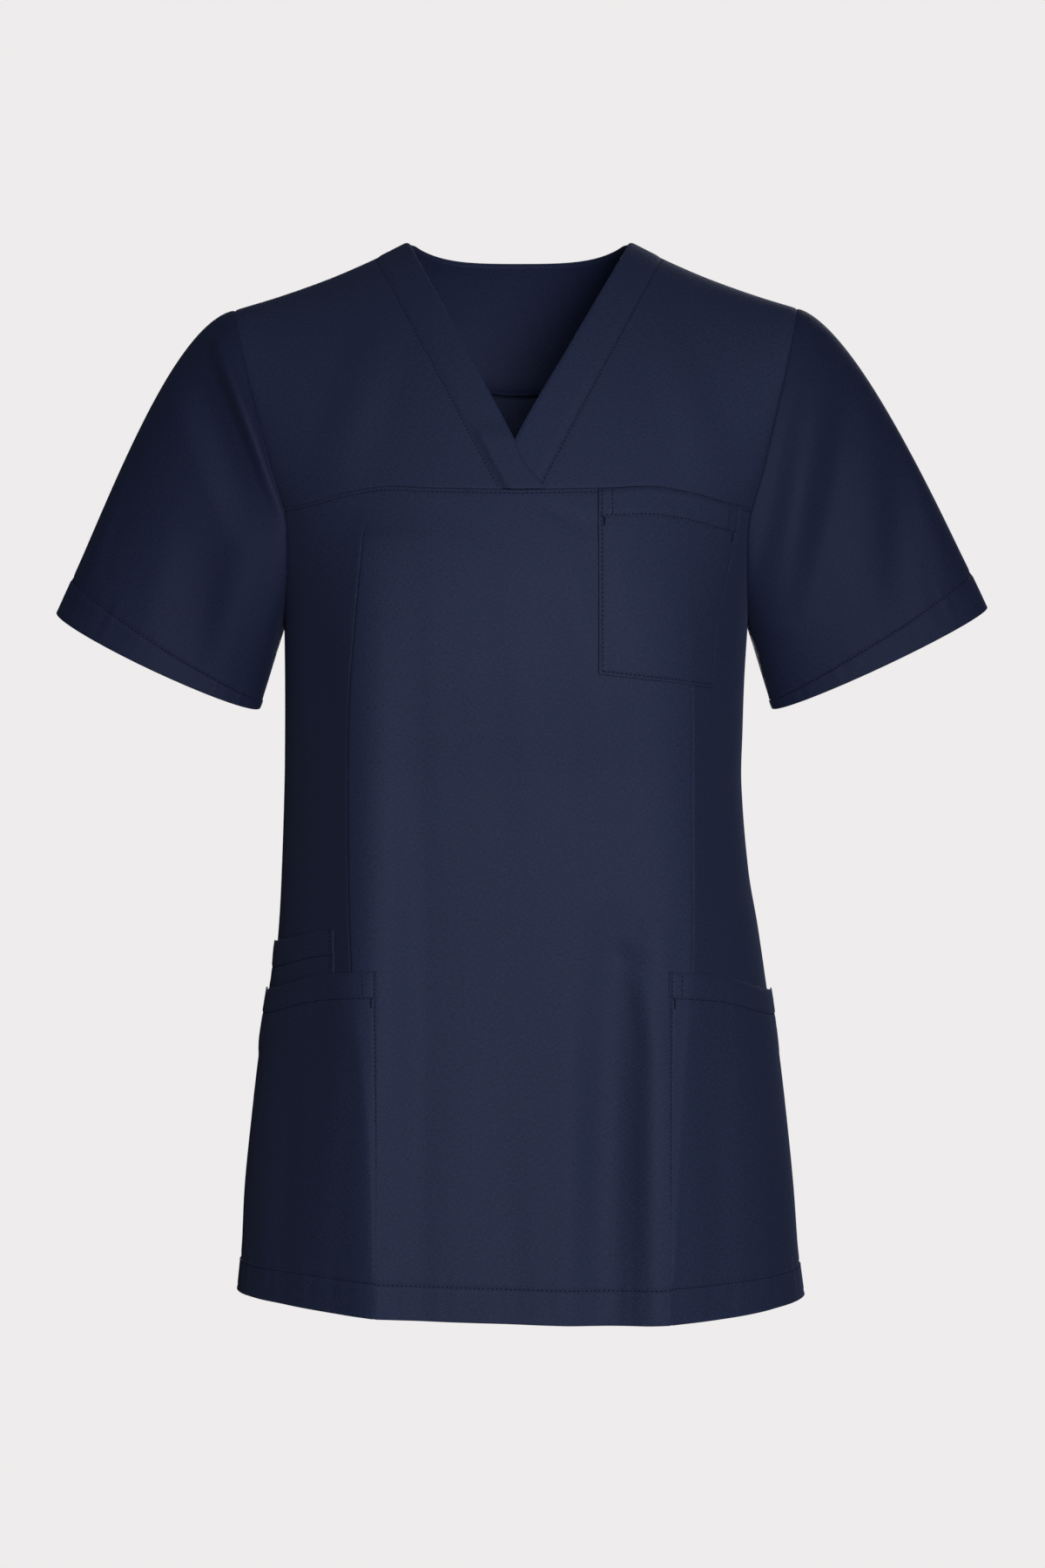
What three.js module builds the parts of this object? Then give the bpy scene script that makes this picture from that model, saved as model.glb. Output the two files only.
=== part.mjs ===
// A short-sleeved V-neck scrub top in its worn shape, hollow and open at neck, hem and cuffs.
// Millimetres, +Z up, the front towards -Y. The origin lies midway between the two high
// shoulder points, on the ridge of the shoulders. Left and right are the wearer's own.
import * as THREE from 'three';

// Driving dimensions
const CLOTH = 1.2;
const HEM_CLOTH = 2.1;
const HEM_HEIGHT = 22.5;
const SEAM_GAP = 0.4;
const SLEEVE_GAP = 0.5;
const LOWER_ARMHOLE_ROWS = 5;
const YOKE_ROWS = 9;
const BACK_ARMHOLE_ROWS = 13;
const SIDE_COLUMNS = 8;
const NECK_COLUMNS = 6;
const YOKE_COLUMNS = 9;
const BAND_COLUMNS = 4;
const BAND_ROWS = 16;
const FACING_ROWS = 5;
const UNDERARM_Z = -265;
const NECK_HALF = 76.8;
const NECK_RISE = 21;
const BACK_NECK_DROP = 8;
const BACK_NECK_FLAT = 72;
const SECTION_ROUNDNESS = 2.2;
const CHEST_EASE = 0.12;
const ARMHOLE_LEAN = 0.15;
const ARMHOLE_TURN_LIMIT = 0.64;
const ARMHOLE_AT_SEAM = 158;
const RIDGE_SHARE = 0.999;
const SETTLE_ROUNDS = 8;
const HEM_HALF = 190;

// The two sides of the body: which way they face, their depth and roundness from the underarm
// up to the ridge of the shoulders, and how far the armhole reaches from that ridge
const FRONT = { name: 'front', out: -1, depth: 138, roundness: 1.4, armhole: 58 };
const BACK = { name: 'back', out: 1, depth: 106, roundness: 2.3, armhole: 62 };

// Sections of the body below the underarm
const BODY_SECTIONS = [
  { z: -732, half: 194, front: 139, back: 125, shift: 1 },
  { z: -697, half: 189.5, front: 138, back: 123, shift: 0.6 },
  { z: -649, half: 186.3, front: 136, back: 120, shift: 0 },
  { z: -601, half: 181.5, front: 134, back: 117, shift: 0 },
  { z: -553, half: 176, front: 132.5, back: 111, shift: 0 },
  { z: -505, half: 169, front: 131, back: 105, shift: 0.3 },
  { z: -469, half: 164.6, front: 130, back: 101, shift: -0.6 },
  { z: -433, half: 160.6, front: 129.5, back: 98, shift: -2.7 },
  { z: -373, half: 157.2, front: 130, back: 97, shift: -4.2 },
  { z: -335, half: 157.4, front: 134.6, back: 101.6, shift: -3.6 },
  { z: -300, half: 158, front: 137.8, back: 105.2, shift: -3 },
  { z: -265, half: 159.3, front: 138, back: 106, shift: -2.1 },
];

// The ridge of the shoulders from the high shoulder point out to the armhole
const SHOULDER_LINE = [
  { x: 76.8, z: 0 },
  { x: 90.6, z: -7 },
  { x: 102.6, z: -13 },
  { x: 130.5, z: -25 },
  { x: 164, z: -37 },
  { x: 193.5, z: -46 },
  { x: 210, z: -51 },
];

// The armhole seam seen from the front, by its share of the height from underarm to shoulder
const ARMHOLE_LINE = [
  { share: 0, right: 159.3, left: 159.3 },
  { share: 0.13, right: 156.4, left: 156.4 },
  { share: 0.28, right: 156, left: 156 },
  { share: 0.34, right: 158.5, left: 158.3 },
  { share: 0.46, right: 167, left: 165.8 },
  { share: 0.57, right: 173.5, left: 171.3 },
  { share: 0.8, right: 186.3, left: 182.7 },
  { share: 1, right: 195.6, left: 191.4 },
];

// The bottom edge of the front, which hangs lowest left of the middle
const HEM_LINE = [
  { x: -190, z: -719.5 },
  { x: -140, z: -722.3 },
  { x: -90, z: -725 },
  { x: -20, z: -727.8 },
  { x: 50, z: -730 },
  { x: 90, z: -729.6 },
  { x: 140, z: -728 },
  { x: 190, z: -723.5 },
];

// The seam between the yokes and the lower front, seen from the front
const YOKE_SEAM = [
  { x: 0, z: -178 },
  { x: 60, z: -176.5 },
  { x: 90, z: -175 },
  { x: 118, z: -179 },
  { x: 136, z: -183.5 },
  { x: 158, z: -187 },
  { x: 170, z: -189 },
];

// The two long darts of the lower front: where they run, and how far the cloth stands out along them
const DART_REACH = 58;
const DARTS = [
  { z: -732, right: -95, left: 100, rise: 5 },
  { z: -600, right: -99, left: 106, rise: 5 },
  { z: -498, right: -110, left: 114, rise: 5 },
  { z: -373, right: -112.7, left: 115, rise: 4.5 },
  { z: -316, right: -111.5, left: 114.5, rise: 3.5 },
  { z: -255, right: -107, left: 112, rise: 1.2 },
  { z: -215, right: -103.5, left: 109, rise: 0 },
  { z: -170, right: -100, left: 106, rise: 0 },
];

// Soft folds, each a line seen from the front, with the width to each side and the rise of the
// cloth, which is least at the ends of the line
const FOLD_END = 0.12;
const FOLD_COVER = 1.6;
const RIDGE_COVER = 5;
const FRONT_FOLDS = [
  { x0: 80, z0: -490, x1: 76, z1: -745, width: 24, rise: -6 },
  { x0: -40, z0: -560, x1: -52, z1: -745, width: 38, rise: 3 },
  { x0: 20, z0: -250, x1: 40, z1: -430, width: 34, rise: -2.5 },
  { x0: -150, z0: -240, x1: -128, z1: -330, width: 26, rise: -3 },
  { x0: -92, z0: -60, x1: -122, z1: -168, width: 26, rise: 2.5 },
  { x0: 96, z0: -60, x1: 128, z1: -168, width: 26, rise: 2.5 },
];
const BACK_FOLDS = [
  { x0: -72, z0: -330, x1: -84, z1: -745, width: 34, rise: -6 },
  { x0: 66, z0: -350, x1: 88, z1: -745, width: 34, rise: -5 },
  { x0: -6, z0: -450, x1: 4, z1: -745, width: 46, rise: 4 },
  { x0: -140, z0: -190, x1: -96, z1: -320, width: 26, rise: -4 },
  { x0: 142, z0: -196, x1: 104, z1: -310, width: 26, rise: -3.5 },
];
const RIGHT_SLEEVE_FOLDS = [
  { back: 0, x0: -203, z0: -88, x1: -176, z1: -178, width: 17, rise: -7 },
  { back: 0, x0: -236, z0: -150, x1: -222, z1: -282, width: 26, rise: -3.5 },
  { back: 0, x0: -188, z0: -190, x1: -196, z1: -262, width: 18, rise: 3.5 },
  { back: 1, x0: -206, z0: -96, x1: -186, z1: -190, width: 20, rise: -6 },
  { back: 1, x0: -240, z0: -160, x1: -224, z1: -280, width: 26, rise: -3 },
];
const LEFT_SLEEVE_FOLDS = [
  { back: 0, x0: 214, z0: -92, x1: 219, z1: -160, width: 15, rise: -5 },
  { back: 0, x0: 219, z0: -160, x1: 200, z1: -268, width: 16, rise: -6 },
  { back: 0, x0: 196, z0: -110, x1: 198, z1: -210, width: 14, rise: 3.5 },
  { back: 0, x0: 262, z0: -170, x1: 268, z1: -262, width: 22, rise: -2.5 },
  { back: 1, x0: 208, z0: -96, x1: 188, z1: -190, width: 20, rise: -6 },
  { back: 1, x0: 244, z0: -160, x1: 230, z1: -276, width: 26, rise: -3 },
];

// The V neck: the inner edge of the upper band runs past the point of the V and over the other band
const V_POINT_Z = -144;
const UPPER_BAND_INNER = [
  { z: -182, x: 20 },
  { z: -176.4, x: 17.6 },
  { z: -170, x: 12.3 },
  { z: -163.6, x: 6.8 },
  { z: -156, x: 1.8 },
  { z: -144, x: -3 },
  { z: -77, x: -37.3 },
  { z: -10, x: -71.6 },
  { z: 0, x: -76.8 },
  { z: 12, x: -83 },
];
const LOWER_BAND_INNER = [
  { z: -182, x: -6 },
  { z: -160, x: -5.2 },
  { z: -144, x: -2.6 },
  { z: -77, x: 34.6 },
  { z: -10, x: 71.6 },
  { z: 0, x: 76.8 },
  { z: 12, x: 83 },
];
const BAND_OUTER = [
  { z: -182, x: 9.6 },
  { z: -176.5, x: 12.5 },
  { z: -17.4, x: 95 },
  { z: 0, x: 104 },
];
const BAND_CROSSING_LIFT = 1.9;
const BAND_LIFT_FADE = 14;
const BAND_LIFT_EDGE = 0.76;

// The facing inside the back neck
const FACING_HALF = 104;
const FACING_DROP = -96;
const FACING_INSET = 1.5;
const FACING_EDGE_INSET = 2.6;
const FACING_LIP = 0.3;

// Sleeves: the cuff is a flattened ring, and the cloth runs to it on a curve from the armhole
const CUFFS = {
  right: { x: 248.4, z: -287.8, half: 77, slope: 25.4, dip: 7.5 },
  left: { x: 248.3, z: -286, half: 81.5, slope: 25.3, dip: 6 },
};
const CUFF_DEPTH = 40;
const CUFF_BACK_RISE = 4;
const SLEEVE_HEM = 20;
const SLEEVE_LENGTH = 190;
const SLEEVE_FOLD_START = 0.12;
const SLEEVE_HEM_SHARE = 1 - SLEEVE_HEM / SLEEVE_LENGTH;
const SLEEVE_ROWS = [
  1, SLEEVE_HEM_SHARE, SLEEVE_HEM_SHARE - 0.01, 0.78, 0.66, 0.54, 0.43, 0.33, 0.23, 0.13, 0.05, 0,
];
const SHOULDER_LEAVE = { right: new THREE.Vector3(135, 0, -30), left: new THREE.Vector3(122, 0, -34) };
const SHOULDER_ARRIVE = new THREE.Vector3(99, 0, -207);
const UNDERARM_LEAVE = new THREE.Vector3(18, 0, -55);
const UNDERARM_ARRIVE = new THREE.Vector3(19, 0, -56);

// Pockets
const POCKET_CLOTH = 1.1;
const POCKET_INSET = 0.9;
const POCKET_EDGE = 0.04;
const POCKET_SIDE = 0.97;
const BELLY_FULLNESS = 0.6;
const CHEST_POCKET_INNER_X = 52.6;
const CHEST_POCKET_BELLY = 1;
const CHEST_POCKET_TOP_GAP = 1.4;
const CHEST_POCKET_OUTER = [
  { z: -310, x: 128.5 },
  { z: -264, x: 131.7 },
  { z: -243, x: 137 },
  { z: -221, x: 142 },
  { z: -203, x: 146 },
  { z: -180, x: 148.5 },
];
const CHEST_POCKET_BOTTOM = [
  { x: 50, z: -300 },
  { x: 91, z: -304.5 },
  { x: 130, z: -308.5 },
];
const HIP_POCKET_MOUTH = [
  { x: 92, z: -497 },
  { x: 112, z: -498.5 },
  { x: 137, z: -502.5 },
  { x: 166, z: -513 },
  { x: 175, z: -516 },
];
const HIP_POCKET_BELLY = 1.5;
const HIP_POCKET_LIP = 0.3;
const HIP_POCKET_ROWS = [0, 0.12, 0.24, 0.36, 0.48, 0.6, 0.72, 0.83, 0.91, 0.96, 1];
const HIP_POCKET_INNER_RIGHT = 93.5;
const HIP_POCKET_INNER_LEFT = 99;
const UTILITY_POCKET_INNER_X = 122;
const UTILITY_POCKET_TOP = [
  { x: 120, z: -470 },
  { x: 140, z: -473.5 },
  { x: 170, z: -482 },
];
const UTILITY_POCKET_OVERLAP = 12;
const UTILITY_POCKET_INSET = 0.9;
const UTILITY_POCKET_CLOTH = 1;
const MOUTH_LIFT = 1.8;
const MOUTH_START = 0.76;
const MOUTH_FULL = 0.85;
const MOUTH_SIDE = 0.2;

// Colours from the cloth in studio light
const NAVY = { body: 0x272d44, side: 0x20263b, sleeve: 0x262c43, band: 0x2a3048, inside: 0x1f2438 };
const CLOTH_ROUGHNESS = 0.82;

// Value of a table's column at a place, on a smooth curve through its rows
function along(table, key, column, at) {
  const rows = table[0][key] < table[table.length - 1][key] ? table : [...table].reverse();
  const last = rows.length - 1;
  let i = 0;
  while (i < last - 1 && at > rows[i + 1][key]) {
    i += 1;
  }
  const slope = (a, b) => (rows[b][column] - rows[a][column]) / (rows[b][key] - rows[a][key]);
  const span = rows[i + 1][key] - rows[i][key];
  const f = THREE.MathUtils.clamp((at - rows[i][key]) / span, 0, 1);
  const start = slope(Math.max(i - 1, 0), i + 1) * span;
  const end = slope(i, Math.min(i + 2, last)) * span;
  const rise = f * f * (3 - 2 * f);
  return (1 - rise) * rows[i][column] + rise * rows[i + 1][column]
    + f * (1 - f) ** 2 * start - f * f * (1 - f) * end;
}

const lerp = THREE.MathUtils.lerp;
const smooth = THREE.MathUtils.smoothstep;

// Height of the ridge of the shoulders, carried on over the neck opening as a low arch
function ridgeHeight(x) {
  const reach = Math.abs(x);
  return reach < NECK_HALF
    ? NECK_RISE * (1 - (reach / NECK_HALF) ** 2)
    : along(SHOULDER_LINE, 'x', 'z', reach);
}

// Which of the wearer's hands a place lies towards
function handAt(x) {
  return x < 0 ? 'right' : 'left';
}

// Height of the yoke seam
function seamHeight(x) {
  return along(YOKE_SEAM, 'x', 'z', Math.abs(x));
}

// Share of the height from underarm to ridge
function shareAt(x, z) {
  return THREE.MathUtils.clamp((z - UNDERARM_Z) / (ridgeHeight(x) - UNDERARM_Z), 0, 1);
}

// Sideways shift of a section, gone at the shoulders
function shiftAt(z) {
  const base = along(BODY_SECTIONS, 'z', 'shift', Math.min(z, UNDERARM_Z));
  const fade = THREE.MathUtils.clamp((z - UNDERARM_Z) / -UNDERARM_Z, 0, 1);
  return base * (1 - fade) ** 2;
}

// How far the armhole seam lies in front of or behind the ridge
function armholeDepth(side, share) {
  return side.armhole * 2 * Math.sqrt(share * (1 - share)) * (1 + ARMHOLE_LEAN * (1 - 2 * share));
}

// Depth of the middle of the chest or back, which leaves the underarm level gently
function middleDepth(side, share) {
  const eased = share ** 2 * (1 + CHEST_EASE) / (share + CHEST_EASE);
  return side.depth * Math.max(0, 1 - eased ** side.roundness) ** (1 / side.roundness);
}

// Cosine of the angle that a section above the underarm turns through before the armhole
function turnEnd(side, share) {
  const at = Math.min(share, RIDGE_SHARE);
  const ratio = armholeDepth(side, at) / middleDepth(side, at);
  return (ratio ** -4 + ARMHOLE_TURN_LIMIT ** -4) ** -0.25;
}

// Rise of the soft folds at a point seen from the front
function foldRise(folds, x, z) {
  let rise = 0;
  for (const fold of folds) {
    const dx = fold.x1 - fold.x0;
    const dz = fold.z1 - fold.z0;
    const f = THREE.MathUtils.clamp(((x - fold.x0) * dx + (z - fold.z0) * dz) / (dx * dx + dz * dz), 0, 1);
    const away = Math.hypot(x - fold.x0 - f * dx, z - fold.z0 - f * dz) / fold.width;
    const across = (1 + Math.cos(Math.PI * Math.min(away, 1))) / 2;
    rise += fold.rise * across * Math.sin(Math.PI * lerp(FOLD_END, 1 - FOLD_END, f));
  }
  return rise;
}

// How far the cloth stands out beside a dart
function dartRise(x, z) {
  const line = along(DARTS, 'z', handAt(x), z);
  const rise = along(DARTS, 'z', 'rise', z);
  return rise * (1 - Math.min(Math.abs(x - line) / DART_REACH, 1)) ** 2;
}

// How far the cloth's outer face lies from the ridge plane, at a point seen from the front
function depthAt(side, x, z) {
  const across = Math.abs(x - shiftAt(z));
  let depth;
  let cover;
  if (z <= UNDERARM_Z) {
    const half = along(BODY_SECTIONS, 'z', 'half', z);
    const part = Math.min(across / half, 1);
    cover = (1 - part ** SECTION_ROUNDNESS) ** (1 / SECTION_ROUNDNESS);
    depth = along(BODY_SECTIONS, 'z', side.name, z) * cover;
  } else {
    const share = shareAt(x, z);
    const reach = along(ARMHOLE_LINE, 'share', handAt(x), share);
    const endCos = turnEnd(side, share);
    const endSin = Math.sqrt(1 - endCos ** 2);
    const sin = endSin * Math.min(across / reach, 1) ** (SECTION_ROUNDNESS / 2);
    const cosine = Math.sqrt(1 - sin ** 2) ** (2 / SECTION_ROUNDNESS);
    const blend = (1 - cosine) / (1 - endCos ** (2 / SECTION_ROUNDNESS));
    depth = lerp(middleDepth(side, share), armholeDepth(side, share), blend);
    cover = (1 - Math.min(across / reach, 1) ** SECTION_ROUNDNESS) ** (1 / SECTION_ROUNDNESS);
    cover *= Math.min(1, RIDGE_COVER * (1 - share));
  }
  const folds = side === FRONT ? foldRise(FRONT_FOLDS, x, z) + dartRise(x, z) : foldRise(BACK_FOLDS, x, z);
  return depth + folds * Math.min(1, FOLD_COVER * cover);
}

// Point of the body's outer face, from its place seen from the front
function bodyPoint(side, x, z) {
  return new THREE.Vector3(x, side.out * (depthAt(side, x, z) + SEAM_GAP / 2), z);
}

// Place across a section, from -1 at the wearer's right edge to 1 at the left one, turned into x
function acrossToX(side, across, z, share) {
  const turn = Math.abs(across) * Math.PI / 2;
  if (z <= UNDERARM_Z) {
    const half = along(BODY_SECTIONS, 'z', 'half', z);
    return shiftAt(z) + Math.sign(across) * half * Math.sin(turn) ** (2 / SECTION_ROUNDNESS);
  }
  const end = Math.acos(turnEnd(side, share));
  const part = Math.sin(Math.abs(across) * end) / Math.sin(end);
  const reach = along(ARMHOLE_LINE, 'share', handAt(across), share);
  return shiftAt(z) + Math.sign(across) * reach * part ** (2 / SECTION_ROUNDNESS);
}

// The way back from x to the place across
function xToAcross(side, x, z) {
  const off = x - shiftAt(z);
  if (z <= UNDERARM_Z) {
    const part = Math.min(Math.abs(off) / along(BODY_SECTIONS, 'z', 'half', z), 1);
    return Math.sign(off) * Math.asin(part ** (SECTION_ROUNDNESS / 2)) / (Math.PI / 2);
  }
  const share = shareAt(x, z);
  const end = Math.acos(turnEnd(side, share));
  const part = Math.min(Math.abs(off) / along(ARMHOLE_LINE, 'share', handAt(x), share), 1);
  return Math.sign(off) * Math.asin(Math.sin(end) * part ** (SECTION_ROUNDNESS / 2)) / end;
}

// Height of the bottom edge, which runs level with its two ends across the back
function hemHeight(side, x) {
  if (side === FRONT) {
    return along(HEM_LINE, 'x', 'z', x);
  }
  const last = HEM_LINE.length - 1;
  return lerp(HEM_LINE[0].z, HEM_LINE[last].z, THREE.MathUtils.clamp((x + HEM_HALF) / (2 * HEM_HALF), 0, 1));
}

// Unit normals of a grid of points, rows by columns, from its neighbours along both directions
function gridNormals(points, closed) {
  const rows = points.length;
  const columns = points[0].length;
  return points.map((row, r) => row.map((_, c) => {
    const before = closed ? (c + columns - 1) % columns : Math.max(c - 1, 0);
    const after = closed ? (c + 1) % columns : Math.min(c + 1, columns - 1);
    const across = new THREE.Vector3().subVectors(row[after], row[before]);
    const up = new THREE.Vector3().subVectors(
      points[Math.min(r + 1, rows - 1)][c],
      points[Math.max(r - 1, 0)][c],
    );
    return across.cross(up).normalize();
  }));
}

// A closed cloth wall. The outer face is a grid of points whose columns run to the right as seen
// from outside and whose rows run up. The inner face is the same grid moved in, and a rim joins them.
function clothWall(points, { thickness = () => CLOTH, closed = false, square = () => false } = {}) {
  const rows = points.length;
  const columns = points[0].length;
  const normals = gridNormals(points, closed);
  const position = [];
  for (const face of ['outer', 'inner']) {
    for (let r = 0; r < rows; r += 1) {
      for (let c = 0; c < columns; c += 1) {
        const normal = normals[r][c];
        if (square(r, c)) {
          normal.setY(0).normalize();
        }
        const depth = face === 'inner' ? thickness(r, c) : 0;
        const point = points[r][c].clone().addScaledVector(normal, -depth);
        position.push(point.x, point.y, point.z);
      }
    }
  }
  const outer = (r, c) => r * columns + (c % columns);
  const inner = (r, c) => rows * columns + outer(r, c);
  const index = [];
  const quad = (a, b, c, d) => index.push(a, b, c, a, c, d);
  const spans = closed ? columns : columns - 1;
  for (let c = 0; c < spans; c += 1) {
    for (let r = 0; r < rows - 1; r += 1) {
      quad(outer(r, c), outer(r, c + 1), outer(r + 1, c + 1), outer(r + 1, c));
      quad(inner(r, c), inner(r + 1, c), inner(r + 1, c + 1), inner(r, c + 1));
    }
    quad(outer(0, c + 1), outer(0, c), inner(0, c), inner(0, c + 1));
    quad(outer(rows - 1, c), outer(rows - 1, c + 1), inner(rows - 1, c + 1), inner(rows - 1, c));
  }
  for (let r = 0; r < rows - 1 && !closed; r += 1) {
    const end = columns - 1;
    quad(outer(r, 0), outer(r + 1, 0), inner(r + 1, 0), inner(r, 0));
    quad(outer(r + 1, end), outer(r, end), inner(r, end), inner(r + 1, end));
  }
  const geometry = new THREE.BufferGeometry();
  geometry.setAttribute('position', new THREE.Float32BufferAttribute(position, 3));
  geometry.setIndex(index);
  geometry.computeVertexNormals();
  return geometry;
}

// A named piece of the garment in its colour
function clothPiece(name, geometry, color) {
  const material = new THREE.MeshStandardMaterial({ color, roughness: CLOTH_ROUGHNESS, metalness: 0 });
  const mesh = new THREE.Mesh(geometry, material);
  mesh.name = name;
  return mesh;
}

// Even steps from 0 to 1
function steps(count) {
  return Array.from({ length: count + 1 }, (_, i) => i / count);
}

// Shares of a height from underarm to ridge, close together where an armhole curves in and out
function armholeShares(count, from, to) {
  const start = Math.acos(1 - 2 * from);
  const end = Math.acos(1 - 2 * to);
  return steps(count).map((f) => (1 - Math.cos(lerp(start, end, f))) / 2);
}

// Settles a point whose x hangs on its height and whose height hangs on its x
function settle(xOf, zOf, startX) {
  let x = startX;
  let z = zOf(x);
  for (let i = 0; i < SETTLE_ROUNDS; i += 1) {
    x = xOf(z, shareAt(x, z));
    z = zOf(x);
  }
  return { x, z };
}

// Lower front: columns follow the two darts, rows run from the hem to the yoke seam
const SEAM_SHARE = shareAt(ARMHOLE_AT_SEAM, seamHeight(ARMHOLE_AT_SEAM));
const HEM_SHARE = HEM_HEIGHT / (UNDERARM_Z - HEM_LINE[0].z);
const LOWER_ROWS = [
  0, HEM_SHARE - 0.002, HEM_SHARE, 0.14, 0.23, 0.32, 0.41, 0.5, 0.59, 0.68, 0.77, 0.86, 0.94, 1,
];

// Where a dart lies across a section
function dartAcross(hand, z) {
  return xToAcross(FRONT, along(DARTS, 'z', handAt(hand), z), z);
}

// Where a column of the lower front lies across: eight to each side of each dart
function frontColumn(step, z) {
  if (step < SIDE_COLUMNS) {
    return lerp(-1, dartAcross(-1, z), step / SIDE_COLUMNS);
  }
  if (step > 3 * SIDE_COLUMNS) {
    return lerp(dartAcross(1, z), 1, step / SIDE_COLUMNS - 3);
  }
  return lerp(dartAcross(-1, z), dartAcross(1, z), (step / SIDE_COLUMNS - 1) / 2);
}

// The lower front is one panel with both darts
function frontBody() {
  const columns = 4 * SIDE_COLUMNS;
  const upper = armholeShares(LOWER_ARMHOLE_ROWS, 0, SEAM_SHARE).slice(1).map((share) => share / SEAM_SHARE);
  const points = [];
  for (const f of LOWER_ROWS) {
    points.push(steps(columns).map((_, c) => {
      const zOf = (x) => lerp(hemHeight(FRONT, x), UNDERARM_Z, f);
      const xOf = (z) => acrossToX(FRONT, frontColumn(c, z), z, 0);
      const { x, z } = settle(xOf, zOf, lerp(-HEM_HALF, HEM_HALF, c / columns));
      return bodyPoint(FRONT, x, z);
    }));
  }
  for (const f of upper) {
    points.push(steps(columns).map((_, c) => {
      const zOf = (x) => lerp(UNDERARM_Z, seamHeight(x) - SEAM_GAP, f);
      const xOf = (z, share) => acrossToX(FRONT, frontColumn(c, z), z, share);
      const { x, z } = settle(xOf, zOf, lerp(-HEM_HALF, HEM_HALF, c / columns));
      return bodyPoint(FRONT, x, z);
    }));
  }
  const seamRows = LOWER_ROWS.length;
  return clothWall(points, {
    thickness: (r) => (r < 2 ? HEM_CLOTH : CLOTH),
    square: (r, c) => r < seamRows && (c === 0 || c === columns),
  });
}

// Where the last column round the neck lies across the back, up to the high shoulder point
function neckAcross(hand) {
  const end = Math.acos(turnEnd(BACK, 1));
  const part = (NECK_HALF / along(ARMHOLE_LINE, 'share', handAt(hand), 1)) ** (SECTION_ROUNDNESS / 2);
  return Math.asin(Math.sin(end) * part) / end;
}

// Where a column of the back lies across, counted from the middle
function backColumn(step) {
  const hand = Math.sign(step);
  const neck = neckAcross(hand);
  const beyond = Math.abs(step) - NECK_COLUMNS;
  return hand * (beyond < 0
    ? neck * Math.sin(Math.abs(step) / NECK_COLUMNS * Math.PI / 2)
    : lerp(neck, 1, beyond / SIDE_COLUMNS));
}

// A point of the back above the underarm: the columns round the neck end on the neckline
function upperBack(step, share) {
  const across = backColumn(step);
  const zOf = (x) => {
    const neck = BACK_NECK_DROP * (Math.min(Math.abs(x) / BACK_NECK_FLAT, 1) ** 4 - 1);
    return lerp(UNDERARM_Z, Math.abs(step) < NECK_COLUMNS ? neck : ridgeHeight(x), share);
  };
  return settle((z, at) => acrossToX(BACK, across, z, at), zOf, across * NECK_HALF);
}

// Back: one panel from the hem over the shoulder blades to the shoulder seams and the back neck
function backPanel() {
  const reach = NECK_COLUMNS + SIDE_COLUMNS;
  const columns = steps(2 * reach).map((_, c) => reach - c);
  const points = LOWER_ROWS.map((f) => columns.map((step) => {
    const zOf = (x) => lerp(hemHeight(BACK, x), UNDERARM_Z, f);
    const { x, z } = settle((height) => acrossToX(BACK, backColumn(step), height, 0), zOf, step);
    return bodyPoint(BACK, x, z);
  }));
  for (const share of armholeShares(BACK_ARMHOLE_ROWS, 0, 1).slice(1)) {
    points.push(columns.map((step) => {
      const { x, z } = upperBack(step, share);
      return bodyPoint(BACK, x, z);
    }));
  }
  const top = points.length - 1;
  const seamRows = LOWER_ROWS.length;
  const shoulder = (c) => Math.abs(columns[c]) >= NECK_COLUMNS;
  return clothWall(points, {
    thickness: (r) => (r < 2 ? HEM_CLOTH : CLOTH),
    square: (r, c) => (r < seamRows && (c === 0 || c === 2 * reach)) || (r === top && shoulder(c)),
  });
}

// Yoke: between the neck band and the armhole, from the yoke seam to the shoulder seam
function frontYoke(hand) {
  const shares = armholeShares(YOKE_ROWS, SEAM_SHARE, 1);
  const rows = shares.map((share) => (share - SEAM_SHARE) / (1 - SEAM_SHARE));
  const points = rows.map((f) => steps(YOKE_COLUMNS).map((s) => {
    const zOf = (x) => lerp(seamHeight(x) + SEAM_GAP / 2, ridgeHeight(x), f);
    const xOf = (z, share) => {
      const edge = along(BAND_OUTER, 'z', 'x', z) + SEAM_GAP;
      const arm = Math.abs(acrossToX(FRONT, hand, z, share));
      return hand * lerp(edge, arm, s);
    };
    const { x, z } = settle(xOf, zOf, hand * NECK_HALF);
    return bodyPoint(FRONT, x, z);
  }));
  if (hand < 0) {
    points.forEach((row) => row.reverse());
  }
  const top = points.length - 1;
  return clothWall(points, { square: (r) => r === top });
}

// Neck band: from its inner edge out to the yoke, the upper one lifted over the lower at the crossing
function neckBand(hand, innerLine, lift) {
  const points = steps(BAND_ROWS).map((f) => steps(BAND_COLUMNS).map((s) => {
    const zOf = (x) => lerp(seamHeight(x) + SEAM_GAP / 2, ridgeHeight(x), f);
    const xOf = (z) => lerp(along(innerLine, 'z', 'x', z), hand * along(BAND_OUTER, 'z', 'x', z), s);
    const { x, z } = settle(xOf, zOf, 0);
    const point = bodyPoint(FRONT, x, z);
    const low = 1 - smooth(z, V_POINT_Z, V_POINT_Z + BAND_LIFT_FADE);
    point.y += FRONT.out * lift * low * (1 - smooth(s, BAND_LIFT_EDGE, 1));
    return point;
  }));
  if (hand < 0) {
    points.forEach((row) => row.reverse());
  }
  return clothWall(points, { square: (r) => r === BAND_ROWS });
}

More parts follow.
